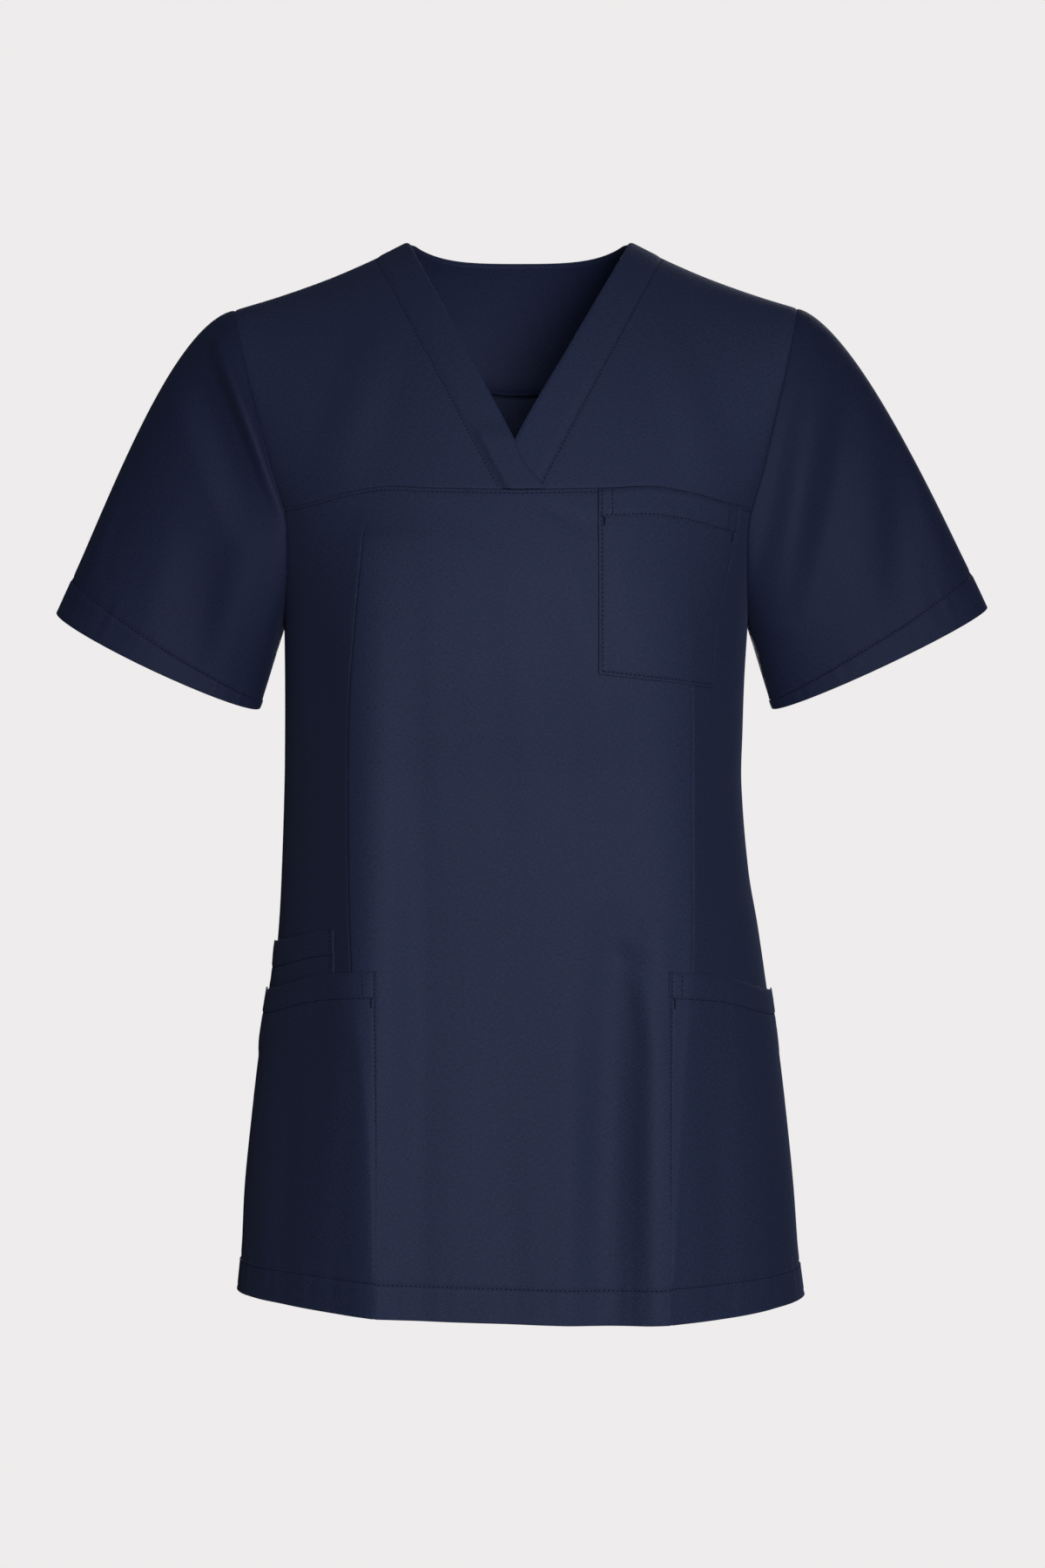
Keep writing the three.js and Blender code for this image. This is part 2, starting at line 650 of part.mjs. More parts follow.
// Normal of the body's outer face at a point seen from the front
function bodyNormal(side, x, z) {
  const step = 0.5;
  const right = bodyPoint(side, x + step, z).sub(bodyPoint(side, x - step, z));
  const up = bodyPoint(side, x, z + step).sub(bodyPoint(side, x, z - step));
  return right.cross(up).multiplyScalar(-side.out).normalize();
}

// Facing: a half moon inside the back neck, a little free of the back along its lower edge
function backNeckFacing() {
  const columns = steps(2 * NECK_COLUMNS).map((_, c) => NECK_COLUMNS - c);
  const points = steps(FACING_ROWS).map((f) => columns.map((step) => {
    const place = Math.sin(step / NECK_COLUMNS * Math.PI / 2);
    const end = Math.abs(step) === NECK_COLUMNS;
    const top = upperBack(step, 1);
    const low = {
      x: FACING_HALF * place,
      z: lerp(ridgeHeight(FACING_HALF), FACING_DROP, Math.sqrt(1 - place ** 2)),
    };
    const x = lerp(low.x, top.x, f);
    const share = lerp(shareAt(low.x, low.z), shareAt(top.x, top.z - FACING_LIP), f);
    const z = lerp(UNDERARM_Z, ridgeHeight(x), end ? 1 : share);
    const inset = CLOTH + lerp(FACING_EDGE_INSET, FACING_INSET, Math.min(1, 2 * f));
    const normal = end ? new THREE.Vector3(0, 0, 1) : bodyNormal(BACK, x, z);
    return bodyPoint(BACK, x, z).addScaledVector(normal, -inset);
  }));
  return clothWall(points, { square: (r, c) => c === 0 || c === columns.length - 1 });
}

// Armhole seen as a loop: 0 turns at the underarm, a quarter at the front, a half at the shoulder
function armholePoint(hand, turn) {
  const angle = turn * 2 * Math.PI;
  const share = (1 - Math.cos(angle)) / 2;
  const side = turn < 0.5 ? FRONT : BACK;
  const reach = along(ARMHOLE_LINE, 'share', handAt(hand), share);
  const z = lerp(UNDERARM_Z, ridgeHeight(reach), share);
  return new THREE.Vector3(shiftAt(z) + hand * (reach + SLEEVE_GAP), side.out * armholeDepth(side, share), z);
}

// Cuff as a loop with the same turns: a flattened ring, tilted, that dips in front
function cuffPoint(hand, turn) {
  const angle = turn * 2 * Math.PI;
  const cuff = CUFFS[handAt(hand)];
  const slope = THREE.MathUtils.degToRad(cuff.slope);
  const dip = (Math.sin(angle) > 0 ? cuff.dip : CUFF_BACK_RISE) * Math.sin(angle);
  return new THREE.Vector3(
    hand * (cuff.x - cuff.half * Math.cos(angle) * Math.cos(slope) + dip * Math.sin(slope)),
    -CUFF_DEPTH * Math.sin(angle),
    cuff.z - cuff.half * Math.cos(angle) * Math.sin(slope) - dip * Math.cos(slope),
  );
}

// Sleeve: every lengthwise line is a smooth curve from the armhole to the cuff
function sleevePoint(hand, turn, f, folds) {
  const high = (1 - Math.cos(turn * 2 * Math.PI)) / 2;
  const leave = new THREE.Vector3().lerpVectors(UNDERARM_LEAVE, SHOULDER_LEAVE[handAt(hand)], high);
  const arrive = new THREE.Vector3().lerpVectors(UNDERARM_ARRIVE, SHOULDER_ARRIVE, high);
  leave.x *= hand;
  arrive.x *= hand;
  const rise = f * f * (3 - 2 * f);
  const point = armholePoint(hand, turn).multiplyScalar(1 - rise)
    .addScaledVector(cuffPoint(hand, turn), rise)
    .addScaledVector(leave, f * (1 - f) ** 2)
    .addScaledVector(arrive, -f * f * (1 - f));
  const back = turn > 0.5 ? 1 : 0;
  const side = back ? BACK : FRONT;
  const facing = Math.abs(Math.sin(turn * 2 * Math.PI));
  const own = folds.filter((fold) => fold.back === back);
  const cover = Math.min(1, 2 * facing) * Math.min(1, f / SLEEVE_FOLD_START);
  point.y += side.out * foldRise(own, point.x, point.z) * cover;
  return point;
}

// Sleeve: a tube whose columns meet the rows of the body pieces round the armhole
function sleeve(hand, folds) {
  const lower = armholeShares(LOWER_ARMHOLE_ROWS, 0, SEAM_SHARE);
  const yoke = armholeShares(YOKE_ROWS, SEAM_SHARE, 1).slice(1);
  const back = armholeShares(BACK_ARMHOLE_ROWS, 0, 1).slice(1, -1).reverse();
  const turns = [
    ...[...lower, ...yoke].map((share) => Math.acos(1 - 2 * share) / (2 * Math.PI)),
    ...back.map((share) => 1 - Math.acos(1 - 2 * share) / (2 * Math.PI)),
  ];
  if (hand < 0) {
    turns.reverse();
  }
  const points = SLEEVE_ROWS.map((f) => turns.map((turn) => sleevePoint(hand, turn, f, folds)));
  return clothWall(points, { closed: true, thickness: (r) => (r < 2 ? HEM_CLOTH : CLOTH) });
}

// A patch on the lower front: points given by their place seen from the front, moved out by an inset
function patch(places, inset, thickness) {
  const points = places.map((row, r) => row.map(({ x, z, s }) => {
    const out = inset(s, r / (places.length - 1)) + thickness;
    return bodyPoint(FRONT, x, z).addScaledVector(bodyNormal(FRONT, x, z), out);
  }));
  return clothWall(points, { thickness: () => thickness });
}

// How much a pocket stands off at a place across and up it: nothing at its sewn edges
function belly(s, f) {
  const up = THREE.MathUtils.clamp(f, POCKET_EDGE, 1 - POCKET_EDGE);
  return (Math.sin(Math.PI * s) * Math.sin(Math.PI * up)) ** BELLY_FULLNESS;
}

// Chest pocket: one of its columns follows the dart under it
function chestPocket() {
  const columns = 10;
  const rows = 9;
  const dartColumn = 6;
  const places = steps(rows).map((f) => steps(columns).map((s, c) => {
    const zOf = (x) => lerp(along(CHEST_POCKET_BOTTOM, 'x', 'z', x), seamHeight(x) - CHEST_POCKET_TOP_GAP, f);
    const xOf = (z) => {
      const dart = along(DARTS, 'z', 'left', z);
      return c < dartColumn
        ? lerp(CHEST_POCKET_INNER_X, dart, c / dartColumn)
        : lerp(dart, along(CHEST_POCKET_OUTER, 'z', 'x', z), (c - dartColumn) / (columns - dartColumn));
    };
    return { ...settle(xOf, zOf, NECK_HALF), s };
  }));
  return patch(places, (s, f) => POCKET_INSET + CHEST_POCKET_BELLY * belly(s, f), POCKET_CLOTH);
}

// Hip pocket: from its inner edge round to the side seam, and from the hem up to its mouth
function hipPocket(hand, innerX, mouthLift) {
  const columns = SIDE_COLUMNS + 1;
  const places = HIP_POCKET_ROWS.map((f) => steps(columns).map((s, c) => {
    const zOf = (x) => {
      const mouth = along(HIP_POCKET_MOUTH, 'x', 'z', Math.abs(x));
      return lerp(hemHeight(FRONT, x) + HIP_POCKET_LIP, mouth, f);
    };
    const xOf = (z) => {
      const across = lerp(dartAcross(hand, z), hand, Math.min((c - 1) / SIDE_COLUMNS, POCKET_SIDE));
      return c === 0 ? hand * innerX : acrossToX(FRONT, across, z, 0);
    };
    return { ...settle(xOf, zOf, hand * innerX), s };
  }));
  if (hand < 0) {
    places.forEach((row) => row.reverse());
  }
  const inset = (s, f) => {
    const mouth = smooth(f, MOUTH_START, MOUTH_FULL) * smooth(s, 0, MOUTH_SIDE);
    return POCKET_INSET + Math.max(HIP_POCKET_BELLY * belly(s, f), mouthLift * mouth);
  };
  return patch(places, inset, POCKET_CLOTH);
}

// Utility pocket: from its inner edge round to the side seam, its lower end behind the hip pocket
function utilityPocket() {
  const rows = 4;
  const places = steps(rows).map((f) => steps(SIDE_COLUMNS - 1).map((s, c) => {
    const zOf = (x) => {
      const low = along(HIP_POCKET_MOUTH, 'x', 'z', Math.abs(x)) - UTILITY_POCKET_OVERLAP;
      return lerp(low, along(UTILITY_POCKET_TOP, 'x', 'z', Math.abs(x)), f);
    };
    const xOf = (z) => {
      const across = lerp(dartAcross(-1, z), -1, Math.min((c + 1) / SIDE_COLUMNS, POCKET_SIDE));
      return c === 0 ? -UTILITY_POCKET_INNER_X : acrossToX(FRONT, across, z, 0);
    };
    return { ...settle(xOf, zOf, -UTILITY_POCKET_INNER_X), s };
  }));
  places.forEach((row) => row.reverse());
  return patch(places, () => UTILITY_POCKET_INSET, UTILITY_POCKET_CLOTH);
}

const scrubTop = new THREE.Group();
scrubTop.name = 'scrub_top';
scrubTop.add(clothPiece('back_panel', backPanel(), NAVY.side));
scrubTop.add(clothPiece('back_neck_facing', backNeckFacing(), NAVY.inside));
scrubTop.add(clothPiece('front_body', frontBody(), NAVY.body));
scrubTop.add(clothPiece('front_yoke_right', frontYoke(-1), NAVY.body));
scrubTop.add(clothPiece('front_yoke_left', frontYoke(1), NAVY.body));
scrubTop.add(clothPiece('neck_band_left', neckBand(1, LOWER_BAND_INNER, 0), NAVY.band));
scrubTop.add(clothPiece('neck_band_right', neckBand(-1, UPPER_BAND_INNER, BAND_CROSSING_LIFT), NAVY.band));
scrubTop.add(clothPiece('sleeve_right', sleeve(-1, RIGHT_SLEEVE_FOLDS), NAVY.sleeve));
scrubTop.add(clothPiece('sleeve_left', sleeve(1, LEFT_SLEEVE_FOLDS), NAVY.sleeve));
scrubTop.add(clothPiece('chest_pocket', chestPocket(), NAVY.body));
scrubTop.add(clothPiece('utility_pocket', utilityPocket(), NAVY.side));
scrubTop.add(clothPiece('hip_pocket_right', hipPocket(-1, HIP_POCKET_INNER_RIGHT, MOUTH_LIFT), NAVY.side));
scrubTop.add(clothPiece('hip_pocket_left', hipPocket(1, HIP_POCKET_INNER_LEFT, MOUTH_LIFT / 2), NAVY.side));

export default scrubTop;
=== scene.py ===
import math

import bpy
import numpy as np
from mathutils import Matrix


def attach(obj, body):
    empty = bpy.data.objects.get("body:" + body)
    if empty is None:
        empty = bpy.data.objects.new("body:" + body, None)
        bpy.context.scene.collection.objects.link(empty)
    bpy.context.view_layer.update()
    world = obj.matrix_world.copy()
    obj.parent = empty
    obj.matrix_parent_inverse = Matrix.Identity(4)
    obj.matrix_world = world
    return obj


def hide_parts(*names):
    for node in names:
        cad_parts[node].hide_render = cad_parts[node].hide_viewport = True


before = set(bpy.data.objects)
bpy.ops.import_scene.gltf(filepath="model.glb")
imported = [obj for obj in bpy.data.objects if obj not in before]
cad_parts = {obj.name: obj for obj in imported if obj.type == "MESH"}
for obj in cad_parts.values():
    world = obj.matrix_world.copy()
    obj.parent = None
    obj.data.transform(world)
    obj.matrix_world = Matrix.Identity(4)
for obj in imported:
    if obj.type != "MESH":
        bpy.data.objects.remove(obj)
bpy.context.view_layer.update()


# Back panel
# One plain piece of polyester and cotton cloth, from the hem over the shoulder blades to the
# shoulder seams and the back neck. Its hem is turned up and stitched, and it carries the soft
# vertical folds of a loose back. All lengths are millimetres until a mesh is made.
UNDERARM = -265.0
ROUND = 2.2
SEAM = 0.02
NECK_HALF = 76.8
HEM_TURN = 22.5
CLOTH = 0.9
# Sections below the underarm: height, half width and sideways shift
SECTION_Z = (-732, -697, -649, -601, -553, -505, -469, -433, -373, -335, -300, -265)
SECTION_HALF = (194, 189.5, 186.3, 181.5, 176, 169, 164.6, 160.6, 157.2, 157.4, 158, 159.3)
SECTION_SHIFT = (1, 0.6, 0, 0, 0, 0.3, -0.6, -2.7, -4.2, -3.6, -3, -2.1)
BACK = dict(out=1, middle=106, roundness=2.3, armhole=62,
            depth=(125, 123, 120, 117, 111, 105, 101, 98, 97, 101.6, 105.2, 106))
# The shoulder seam from the neck out, and how far the armhole seam lies from the middle by its
# share of the height
SHOULDER_X = (76.8, 90.6, 102.6, 130.5, 164, 193.5, 210)
SHOULDER_Z = (0, -7, -13, -25, -37, -46, -51)
ARMHOLE_SHARE = (0, 0.13, 0.28, 0.34, 0.46, 0.57, 0.8, 1)
ARMHOLE_RIGHT = (159.3, 156.4, 156, 158.5, 167, 173.5, 186.3, 195.6)
ARMHOLE_LEFT = (159.3, 156.4, 156, 158.3, 165.8, 171.3, 182.7, 191.4)
# Folds, here and below: from x, z to x, z, width to each side, rise of the cloth
BACK["folds"] = (
    (-72, -330, -84, -745, 34, -6), (66, -350, 88, -745, 34, -5), (-6, -450, 4, -745, 46, 4),
    (-140, -190, -96, -320, 26, -4), (142, -196, 104, -310, 26, -3.5),
    (-30, -250, -20, -520, 22, 1.2), (34, -300, 30, -560, 20, -1.1), (-112, -420, -118, -700, 20, 1.6),
    (116, -430, 126, -710, 22, 1.8), (-60, -90, -96, -180, 24, -1.5), (64, -84, 100, -176, 22, -1.3),
)


def curve(at, places, values):
    """Smooth curve through a short table: from row a to row b at share f it is
    (1 - r) a + r b + f (1 - f)^2 start - f^2 (1 - f) end, with r = 3 f^2 - 2 f^3."""
    places, values = np.asarray(places, float), np.asarray(values, float)
    last = len(places) - 1
    i = np.clip(np.searchsorted(places, at) - 1, 0, last - 1)
    before, after = np.maximum(i - 1, 0), np.minimum(i + 2, last)
    span = places[i + 1] - places[i]
    f = np.clip((at - places[i]) / span, 0, 1)
    start = (values[i + 1] - values[before]) / (places[i + 1] - places[before]) * span
    end = (values[after] - values[i]) / (places[after] - places[i]) * span
    r = f * f * (3 - 2 * f)
    return (1 - r) * values[i] + r * values[i + 1] + f * (1 - f) ** 2 * start - f * f * (1 - f) * end


def lerp(a, b, f):
    """a + (b - a) f"""
    return a + (b - a) * f


def smooth(x, low, high):
    """3 f^2 - 2 f^3 of the share f of the way from low to high, kept between 0 and 1."""
    f = np.clip((x - low) / (high - low), 0, 1)
    return f * f * (3 - 2 * f)


def ridge(x):
    """Height of the shoulder ridge: its table, and over the neck the arch 21 (1 - (x / 76.8)^2)."""
    reach = np.abs(x)
    return np.where(reach < NECK_HALF, 21 * (1 - (reach / NECK_HALF) ** 2),
                    curve(np.maximum(reach, NECK_HALF), SHOULDER_X, SHOULDER_Z))


def share_at(x, z):
    """Share of the height from the underarm to the ridge."""
    return np.clip((z - UNDERARM) / (ridge(x) - UNDERARM), 0, 1)


def shift_at(z):
    """Sideways shift of a section, fading as the square to nothing at the shoulders."""
    fade = np.clip((z - UNDERARM) / -UNDERARM, 0, 1)
    return curve(np.minimum(z, UNDERARM), SECTION_Z, SECTION_SHIFT) * (1 - fade) ** 2


def armhole_reach(hand, share):
    """How far the armhole seam lies from the middle, on the wearer's right or left."""
    return np.where(np.asarray(hand) < 0, curve(share, ARMHOLE_SHARE, ARMHOLE_RIGHT),
                    curve(share, ARMHOLE_SHARE, ARMHOLE_LEFT))


def armhole_depth(side, share):
    """armhole 2 sqrt(s (1 - s)) (1 + 0.15 (1 - 2 s))"""
    return side["armhole"] * 2 * np.sqrt(share * (1 - share)) * (1 + 0.15 * (1 - 2 * share))


def middle_depth(side, share):
    """Depth of the middle: middle (1 - e^n)^(1/n), with e = 1.12 s^2 / (s + 0.12)."""
    eased = share ** 2 * 1.12 / (share + 0.12)
    n = side["roundness"]
    return side["middle"] * np.maximum(0, 1 - eased ** n) ** (1 / n)


def turn_end(side, share):
    """Cosine of the angle a section turns through up to the armhole: (q^-4 + 0.64^-4)^-1/4,
    where q is the armhole's depth over the middle's."""
    at = np.minimum(share, 0.999)
    q = np.maximum(armhole_depth(side, at) / middle_depth(side, at), 1e-4)
    return (q ** -4 + 0.64 ** -4) ** -0.25


def fold_rise(folds, x, z):
    """Sum over the folds of rise (1 + cos(pi a)) / 2 sin(pi (0.12 + 0.76 f)): f is the place along
    the fold's line and a the distance from it over the fold's width."""
    rise = np.zeros(np.broadcast(x, z).shape)
    for x0, z0, x1, z1, width, height in folds:
        dx, dz = x1 - x0, z1 - z0
        f = np.clip(((x - x0) * dx + (z - z0) * dz) / (dx * dx + dz * dz), 0, 1)
        away = np.minimum(np.hypot(x - x0 - f * dx, z - z0 - f * dz) / width, 1)
        rise += height * 0.5 * (1 + np.cos(np.pi * away)) * np.sin(np.pi * (0.12 + 0.76 * f))
    return rise


def depth_at(side, x, z):
    """Distance of the cloth from the ridge plane. Below the underarm a section is the superellipse
    depth (1 - (x / half)^2.2)^(1 / 2.2); above it, it runs from the middle's depth to the
    armhole's as the cosine of a turning angle. Folds and darts are added, fading at the edges."""
    off = np.abs(x - shift_at(z))
    low_z = np.minimum(z, UNDERARM)
    part = np.minimum(off / curve(low_z, SECTION_Z, SECTION_HALF), 1)
    low_cover = (1 - part ** ROUND) ** (1 / ROUND)
    low = curve(low_z, SECTION_Z, side["depth"]) * low_cover
    share = share_at(x, z)
    end = turn_end(side, share)
    part = np.minimum(off / armhole_reach(x, share), 1)
    cosine = (1 - (1 - end ** 2) * part ** ROUND) ** (1 / ROUND)
    blend = (1 - cosine) / (1 - end ** (2 / ROUND))
    high = lerp(middle_depth(side, share), armhole_depth(side, share), blend)
    high_cover = (1 - part ** ROUND) ** (1 / ROUND) * np.minimum(1, 5 * (1 - share))
    below = z <= UNDERARM
    cover = np.minimum(1, 1.6 * np.where(below, low_cover, high_cover))
    rise = fold_rise(side["folds"], x, z)
    if "darts" in side:
        rise = rise + side["darts"](x, z)
    return np.where(below, low, high) + rise * cover


def body_point(side, x, z):
    """The point (x, out (depth + seam), z)."""
    return np.stack([x, side["out"] * (depth_at(side, x, z) + SEAM), z + 0 * x], -1)


def unit(vectors):
    """Each vector over its length."""
    return vectors / np.maximum(np.linalg.norm(vectors, axis=-1, keepdims=True), 1e-9)


def body_normal(side, x, z):
    """Cross product of the changes of body_point over 1 mm across and 1 mm up, turned outwards."""
    across = body_point(side, x + 0.5, z) - body_point(side, x - 0.5, z)
    up = body_point(side, x, z + 0.5) - body_point(side, x, z - 0.5)
    return unit(np.cross(across, up) * -side["out"])


def across_to_x(side, across, z, share):
    """x at a place across a section, from -1 to 1: half sin(a)^(2/2.2) below the underarm, and
    reach (sin(a end) / sin(end))^(2/2.2) above it."""
    hand, size = np.sign(across), np.abs(across)
    low = curve(np.minimum(z, UNDERARM), SECTION_Z, SECTION_HALF) * np.sin(size * np.pi / 2) ** (2 / ROUND)
    end = np.arccos(turn_end(side, share))
    high = armhole_reach(hand, share) * (np.sin(size * end) / np.sin(end)) ** (2 / ROUND)
    return shift_at(z) + hand * np.where(z <= UNDERARM, low, high)


def x_to_across(side, x, z):
    """The inverse of across_to_x."""
    off = x - shift_at(z)
    hand, size = np.sign(off), np.abs(off)
    low = np.minimum(size / curve(np.minimum(z, UNDERARM), SECTION_Z, SECTION_HALF), 1)
    share = share_at(x, z)
    end = np.arccos(turn_end(side, share))
    high = np.minimum(size / armhole_reach(hand, share), 1)
    return hand * np.where(z <= UNDERARM, np.arcsin(low ** (ROUND / 2)) / (np.pi / 2),
                           np.arcsin(np.sin(end) * high ** (ROUND / 2)) / end)


def settle(x_of, z_of, start):
    """x and z of points whose x hangs on z and whose z hangs on x, after eight rounds."""
    x = start
    z = z_of(x)
    for _ in range(8):
        x = x_of(z, share_at(x, z))
        z = z_of(x)
    return x, z


def spaced(length, pitch, low=(), high=()):
    """Places along a length: the fine ones given from its low and high end, and even steps of
    about the pitch between them, as shares of the length."""
    first = low[-1] if len(low) else 0
    last = length - (high[-1] if len(high) else 0)
    middle = np.linspace(first, last, max(2, round((last - first) / pitch) + 1))
    return np.concatenate([low[:-1], middle, length - np.array(high[:-1][::-1])]) / length


def normals_of(points, closed=False):
    """Unit normals of a grid, from the neighbours across crossed with the neighbours up."""
    rows, columns = points.shape[:2]
    r, c = np.arange(rows), np.arange(columns)
    if closed:
        across = points[:, (c + 1) % columns] - points[:, c - 1]
    else:
        across = points[:, np.minimum(c + 1, columns - 1)] - points[:, np.maximum(c - 1, 0)]
    up = points[np.minimum(r + 1, rows - 1)] - points[np.maximum(r - 1, 0)]
    return unit(np.cross(across, up))


def make_mesh(name, points, quads, uv=None):
    """A smooth mesh from points in millimetres and quads of their numbers, set as whole arrays."""
    mesh = bpy.data.meshes.new(name)
    mesh.vertices.add(len(points))
    mesh.vertices.foreach_set("co", (np.asarray(points, np.float32) * 0.001).ravel())
    mesh.loops.add(quads.size)
    mesh.loops.foreach_set("vertex_index", quads.astype(np.int32).ravel())
    mesh.polygons.add(len(quads))
    mesh.polygons.foreach_set("loop_start", np.arange(0, quads.size, 4, dtype=np.int32))
    mesh.polygons.foreach_set("use_smooth", np.ones(len(quads), bool))
    mesh.update(calc_edges=True)
    if uv is not None:
        mesh.uv_layers.new(name="UVMap").data.foreach_set("uv", (uv * 0.001).astype(np.float32).ravel())
    mesh.validate()
    piece = bpy.data.objects.new(name, mesh)
    bpy.context.scene.collection.objects.link(piece)
    return piece


RIM_BULGE = 0.35


def cloth_wall(name, points, thickness=CLOTH, closed=False, square=None):
    """A thin closed wall of cloth: the grid, the grid moved in by the thickness along its normals,
    and a rounded rim between them. Its UV map is the length of cloth across and up, so the weave
    keeps its size. Where square is set, the wall's edge stays in the plane of a seam."""
    rows, columns = points.shape[:2]
    normal = normals_of(points, closed)
    if square is not None:
        normal[square, 1] = 0
        normal = unit(normal)
    inner = points - normal * (np.zeros((rows, columns)) + thickness)[..., None]
    grid = np.arange(rows * columns).reshape(rows, columns)
    wide = np.concatenate([points, points[:, :1]], 1) if closed else points
    across = np.linalg.norm(np.diff(wide, axis=1), axis=-1)
    u = np.pad(np.cumsum(across, 1), ((0, 0), (1, 0)))
    u = u - u[:, u.shape[1] // 2][:, None]
    v = np.pad(np.cumsum(np.linalg.norm(np.diff(wide, axis=0), axis=-1), 0), ((1, 0), (0, 0)))
    uv = np.stack([u, v], -1).reshape(-1, 2)
    at = np.hstack([grid, grid[:, :1]]) if closed else grid
    place = np.arange(at.size).reshape(at.shape)

    def faces(n):
        return np.stack([n[:-1, :-1], n[:-1, 1:], n[1:, 1:], n[1:, :-1]], -1).reshape(-1, 4)

    count = grid.size
    quads = [faces(at), faces(at)[:, ::-1] + count]
    uvs = [faces(place), faces(place)[:, ::-1]]
    if closed:
        rims = [(at[0, ::-1], place[0, ::-1]), (at[-1], place[-1])]
    else:
        rims = [tuple(np.concatenate([n[0, ::-1], n[1:, 0], n[-1, 1:], n[-2::-1, -1]]) for n in (at, place))]
    flat_outer, flat_inner = points.reshape(-1, 3), inner.reshape(-1, 3)
    row, column = np.divmod(np.arange(count), columns)
    inside = np.clip(row, 1, rows - 2) * columns + (column if closed else np.clip(column, 1, columns - 2))
    vertices = [flat_outer, flat_inner]
    made = 2 * count
    for loop, where in rims:
        out = unit(flat_outer[loop] - flat_outer[inside[loop]])
        wall = np.linalg.norm(flat_outer[loop] - flat_inner[loop], axis=-1, keepdims=True)
        bulge = out * wall * RIM_BULGE
        if square is not None:
            bulge[square.ravel()[loop]] = 0
        middle = (flat_outer[loop] + flat_inner[loop]) / 2 + bulge
        ring = made + np.arange(len(loop) - 1)
        ring = np.append(ring, ring[0])
        vertices.append(middle[:-1])
        made += len(loop) - 1
        quads.append(np.stack([loop[:-1], loop[1:], ring[1:], ring[:-1]], -1))
        quads.append(np.stack([ring[:-1], ring[1:], loop[1:] + count, loop[:-1] + count], -1))
        uvs += [np.stack([where[:-1], where[1:], where[1:], where[:-1]], -1)] * 2
    return make_mesh(name, np.concatenate(vertices), np.concatenate(quads), uv[np.concatenate(uvs)])


def index_at(value, values):
    """Where a value falls among the rising values of a grid's rows or columns."""
    return np.interp(value, values, np.arange(len(values)))


def line_on(points, closed, row, column, lift=0.05):
    """Points and normals of a line on a grid, by the rows and columns it runs through, between
    which it takes the grid's own straight mix, lifted off the cloth."""
    normal = normals_of(points, closed)
    row, column = np.broadcast_arrays(np.asarray(row, float), np.asarray(column, float))
    r = np.clip(np.floor(row).astype(int), 0, points.shape[0] - 2)
    c = np.floor(column).astype(int)
    if not closed:
        c = np.clip(c, 0, points.shape[1] - 2)
    fr, fc = (row - r)[:, None], (column - c)[:, None]
    c, d = c % points.shape[1], (c + 1) % points.shape[1]

    def mix(a):
        return lerp(lerp(a[r, c], a[r, d], fc), lerp(a[r + 1, c], a[r + 1, d], fc), fr)

    n = unit(mix(normal))
    return mix(points) + n * lift, n


STITCH_PITCH = 3.0
STITCH_LENGTH = 2.1
THREAD = 0.6


def stitch_row(name, lines, pitch=STITCH_PITCH, length=STITCH_LENGTH, thread=THREAD):
    """Lockstitch: one short rounded bar of thread for each pitch along each line, its two ends
    sunk into the cloth. A bar is four rings of four points, narrow at the ends."""
    centres, alongs, ups = [], [], []
    for points, normal in lines:
        reach = np.pad(np.cumsum(np.linalg.norm(np.diff(points, axis=0), axis=-1)), (1, 0))
        at = np.arange(pitch / 2, reach[-1], pitch)

        def where(s, values):
            return np.stack([np.interp(s, reach, values[:, k]) for k in range(3)], -1)

        ahead = where(at + length / 2, points) - where(at - length / 2, points)
        centres.append(where(at, points))
        alongs.append(unit(ahead))
        ups.append(where(at, normal))
    centre, along, up = np.concatenate(centres), np.concatenate(alongs), np.concatenate(ups)
    side = unit(np.cross(along, up))
    rings = []
    # A ring's place along the bar, its width, and how far it stands out of the cloth
    for place, width, sink in ((-0.5, 0.45, -0.3), (-0.28, 1, 0.06), (0.28, 1, 0.06), (0.5, 0.45, -0.3)):
        for s, h in ((1, 0), (0, 0.8), (-1, 0), (0, -0.8)):
            rings.append(centre + along * place * length + side * s * width * thread / 2
                         + up * (h * width * thread / 2 + sink * thread))
    points = np.stack(rings, 1).reshape(-1, 3)
    ring = np.arange(4)
    after = (ring + 1) % 4
    sides = [np.stack([ring, after, after + 4, ring + 4], -1) + k * 4 for k in range(3)]
    one = np.concatenate(sides + [np.array([[3, 2, 1, 0], [12, 13, 14, 15]])])
    quads = (np.arange(len(centre)) * 16)[:, None, None] + one[None]
    return make_mesh(name, points, quads.reshape(-1, 4))


def srgb(code):
    """A hex sRGB colour as linear red, green, blue and 1: c / 12.92, or ((c + 0.055) / 1.055)^2.4."""
    channels = [int(code[i:i + 2], 16) / 255 for i in (0, 2, 4)]
    return tuple(c / 12.92 if c <= 0.04045 else ((c + 0.055) / 1.055) ** 2.4 for c in channels) + (1.0,)


def add_node(material, kind, settings=None, **links):
    """Adds a shader node, sets its own settings and its sockets, by name or as i and a number: each
    gets a link or a fixed value."""
    node = material.node_tree.nodes.new(kind)
    for key, value in (settings or {}).items():
        setattr(node, key, value)
    for key, value in links.items():
        numbered = key[0] == "i" and key[1:].isdigit()
        socket = node.inputs[int(key[1:]) if numbered else key.replace("_", " ")]
        if isinstance(value, bpy.types.NodeSocket):
            material.node_tree.links.new(value, socket)
        else:
            socket.default_value = value
    return node


def new_material(name, **values):
    """A material with a node tree, and fixed values on the sockets of its shader."""
    material = bpy.data.materials.new(name)
    material.use_nodes = True
    for key, value in values.items():
        material.node_tree.nodes["Principled BSDF"].inputs[key.replace("_", " ")].default_value = value
    return material


SLUB = 0.24


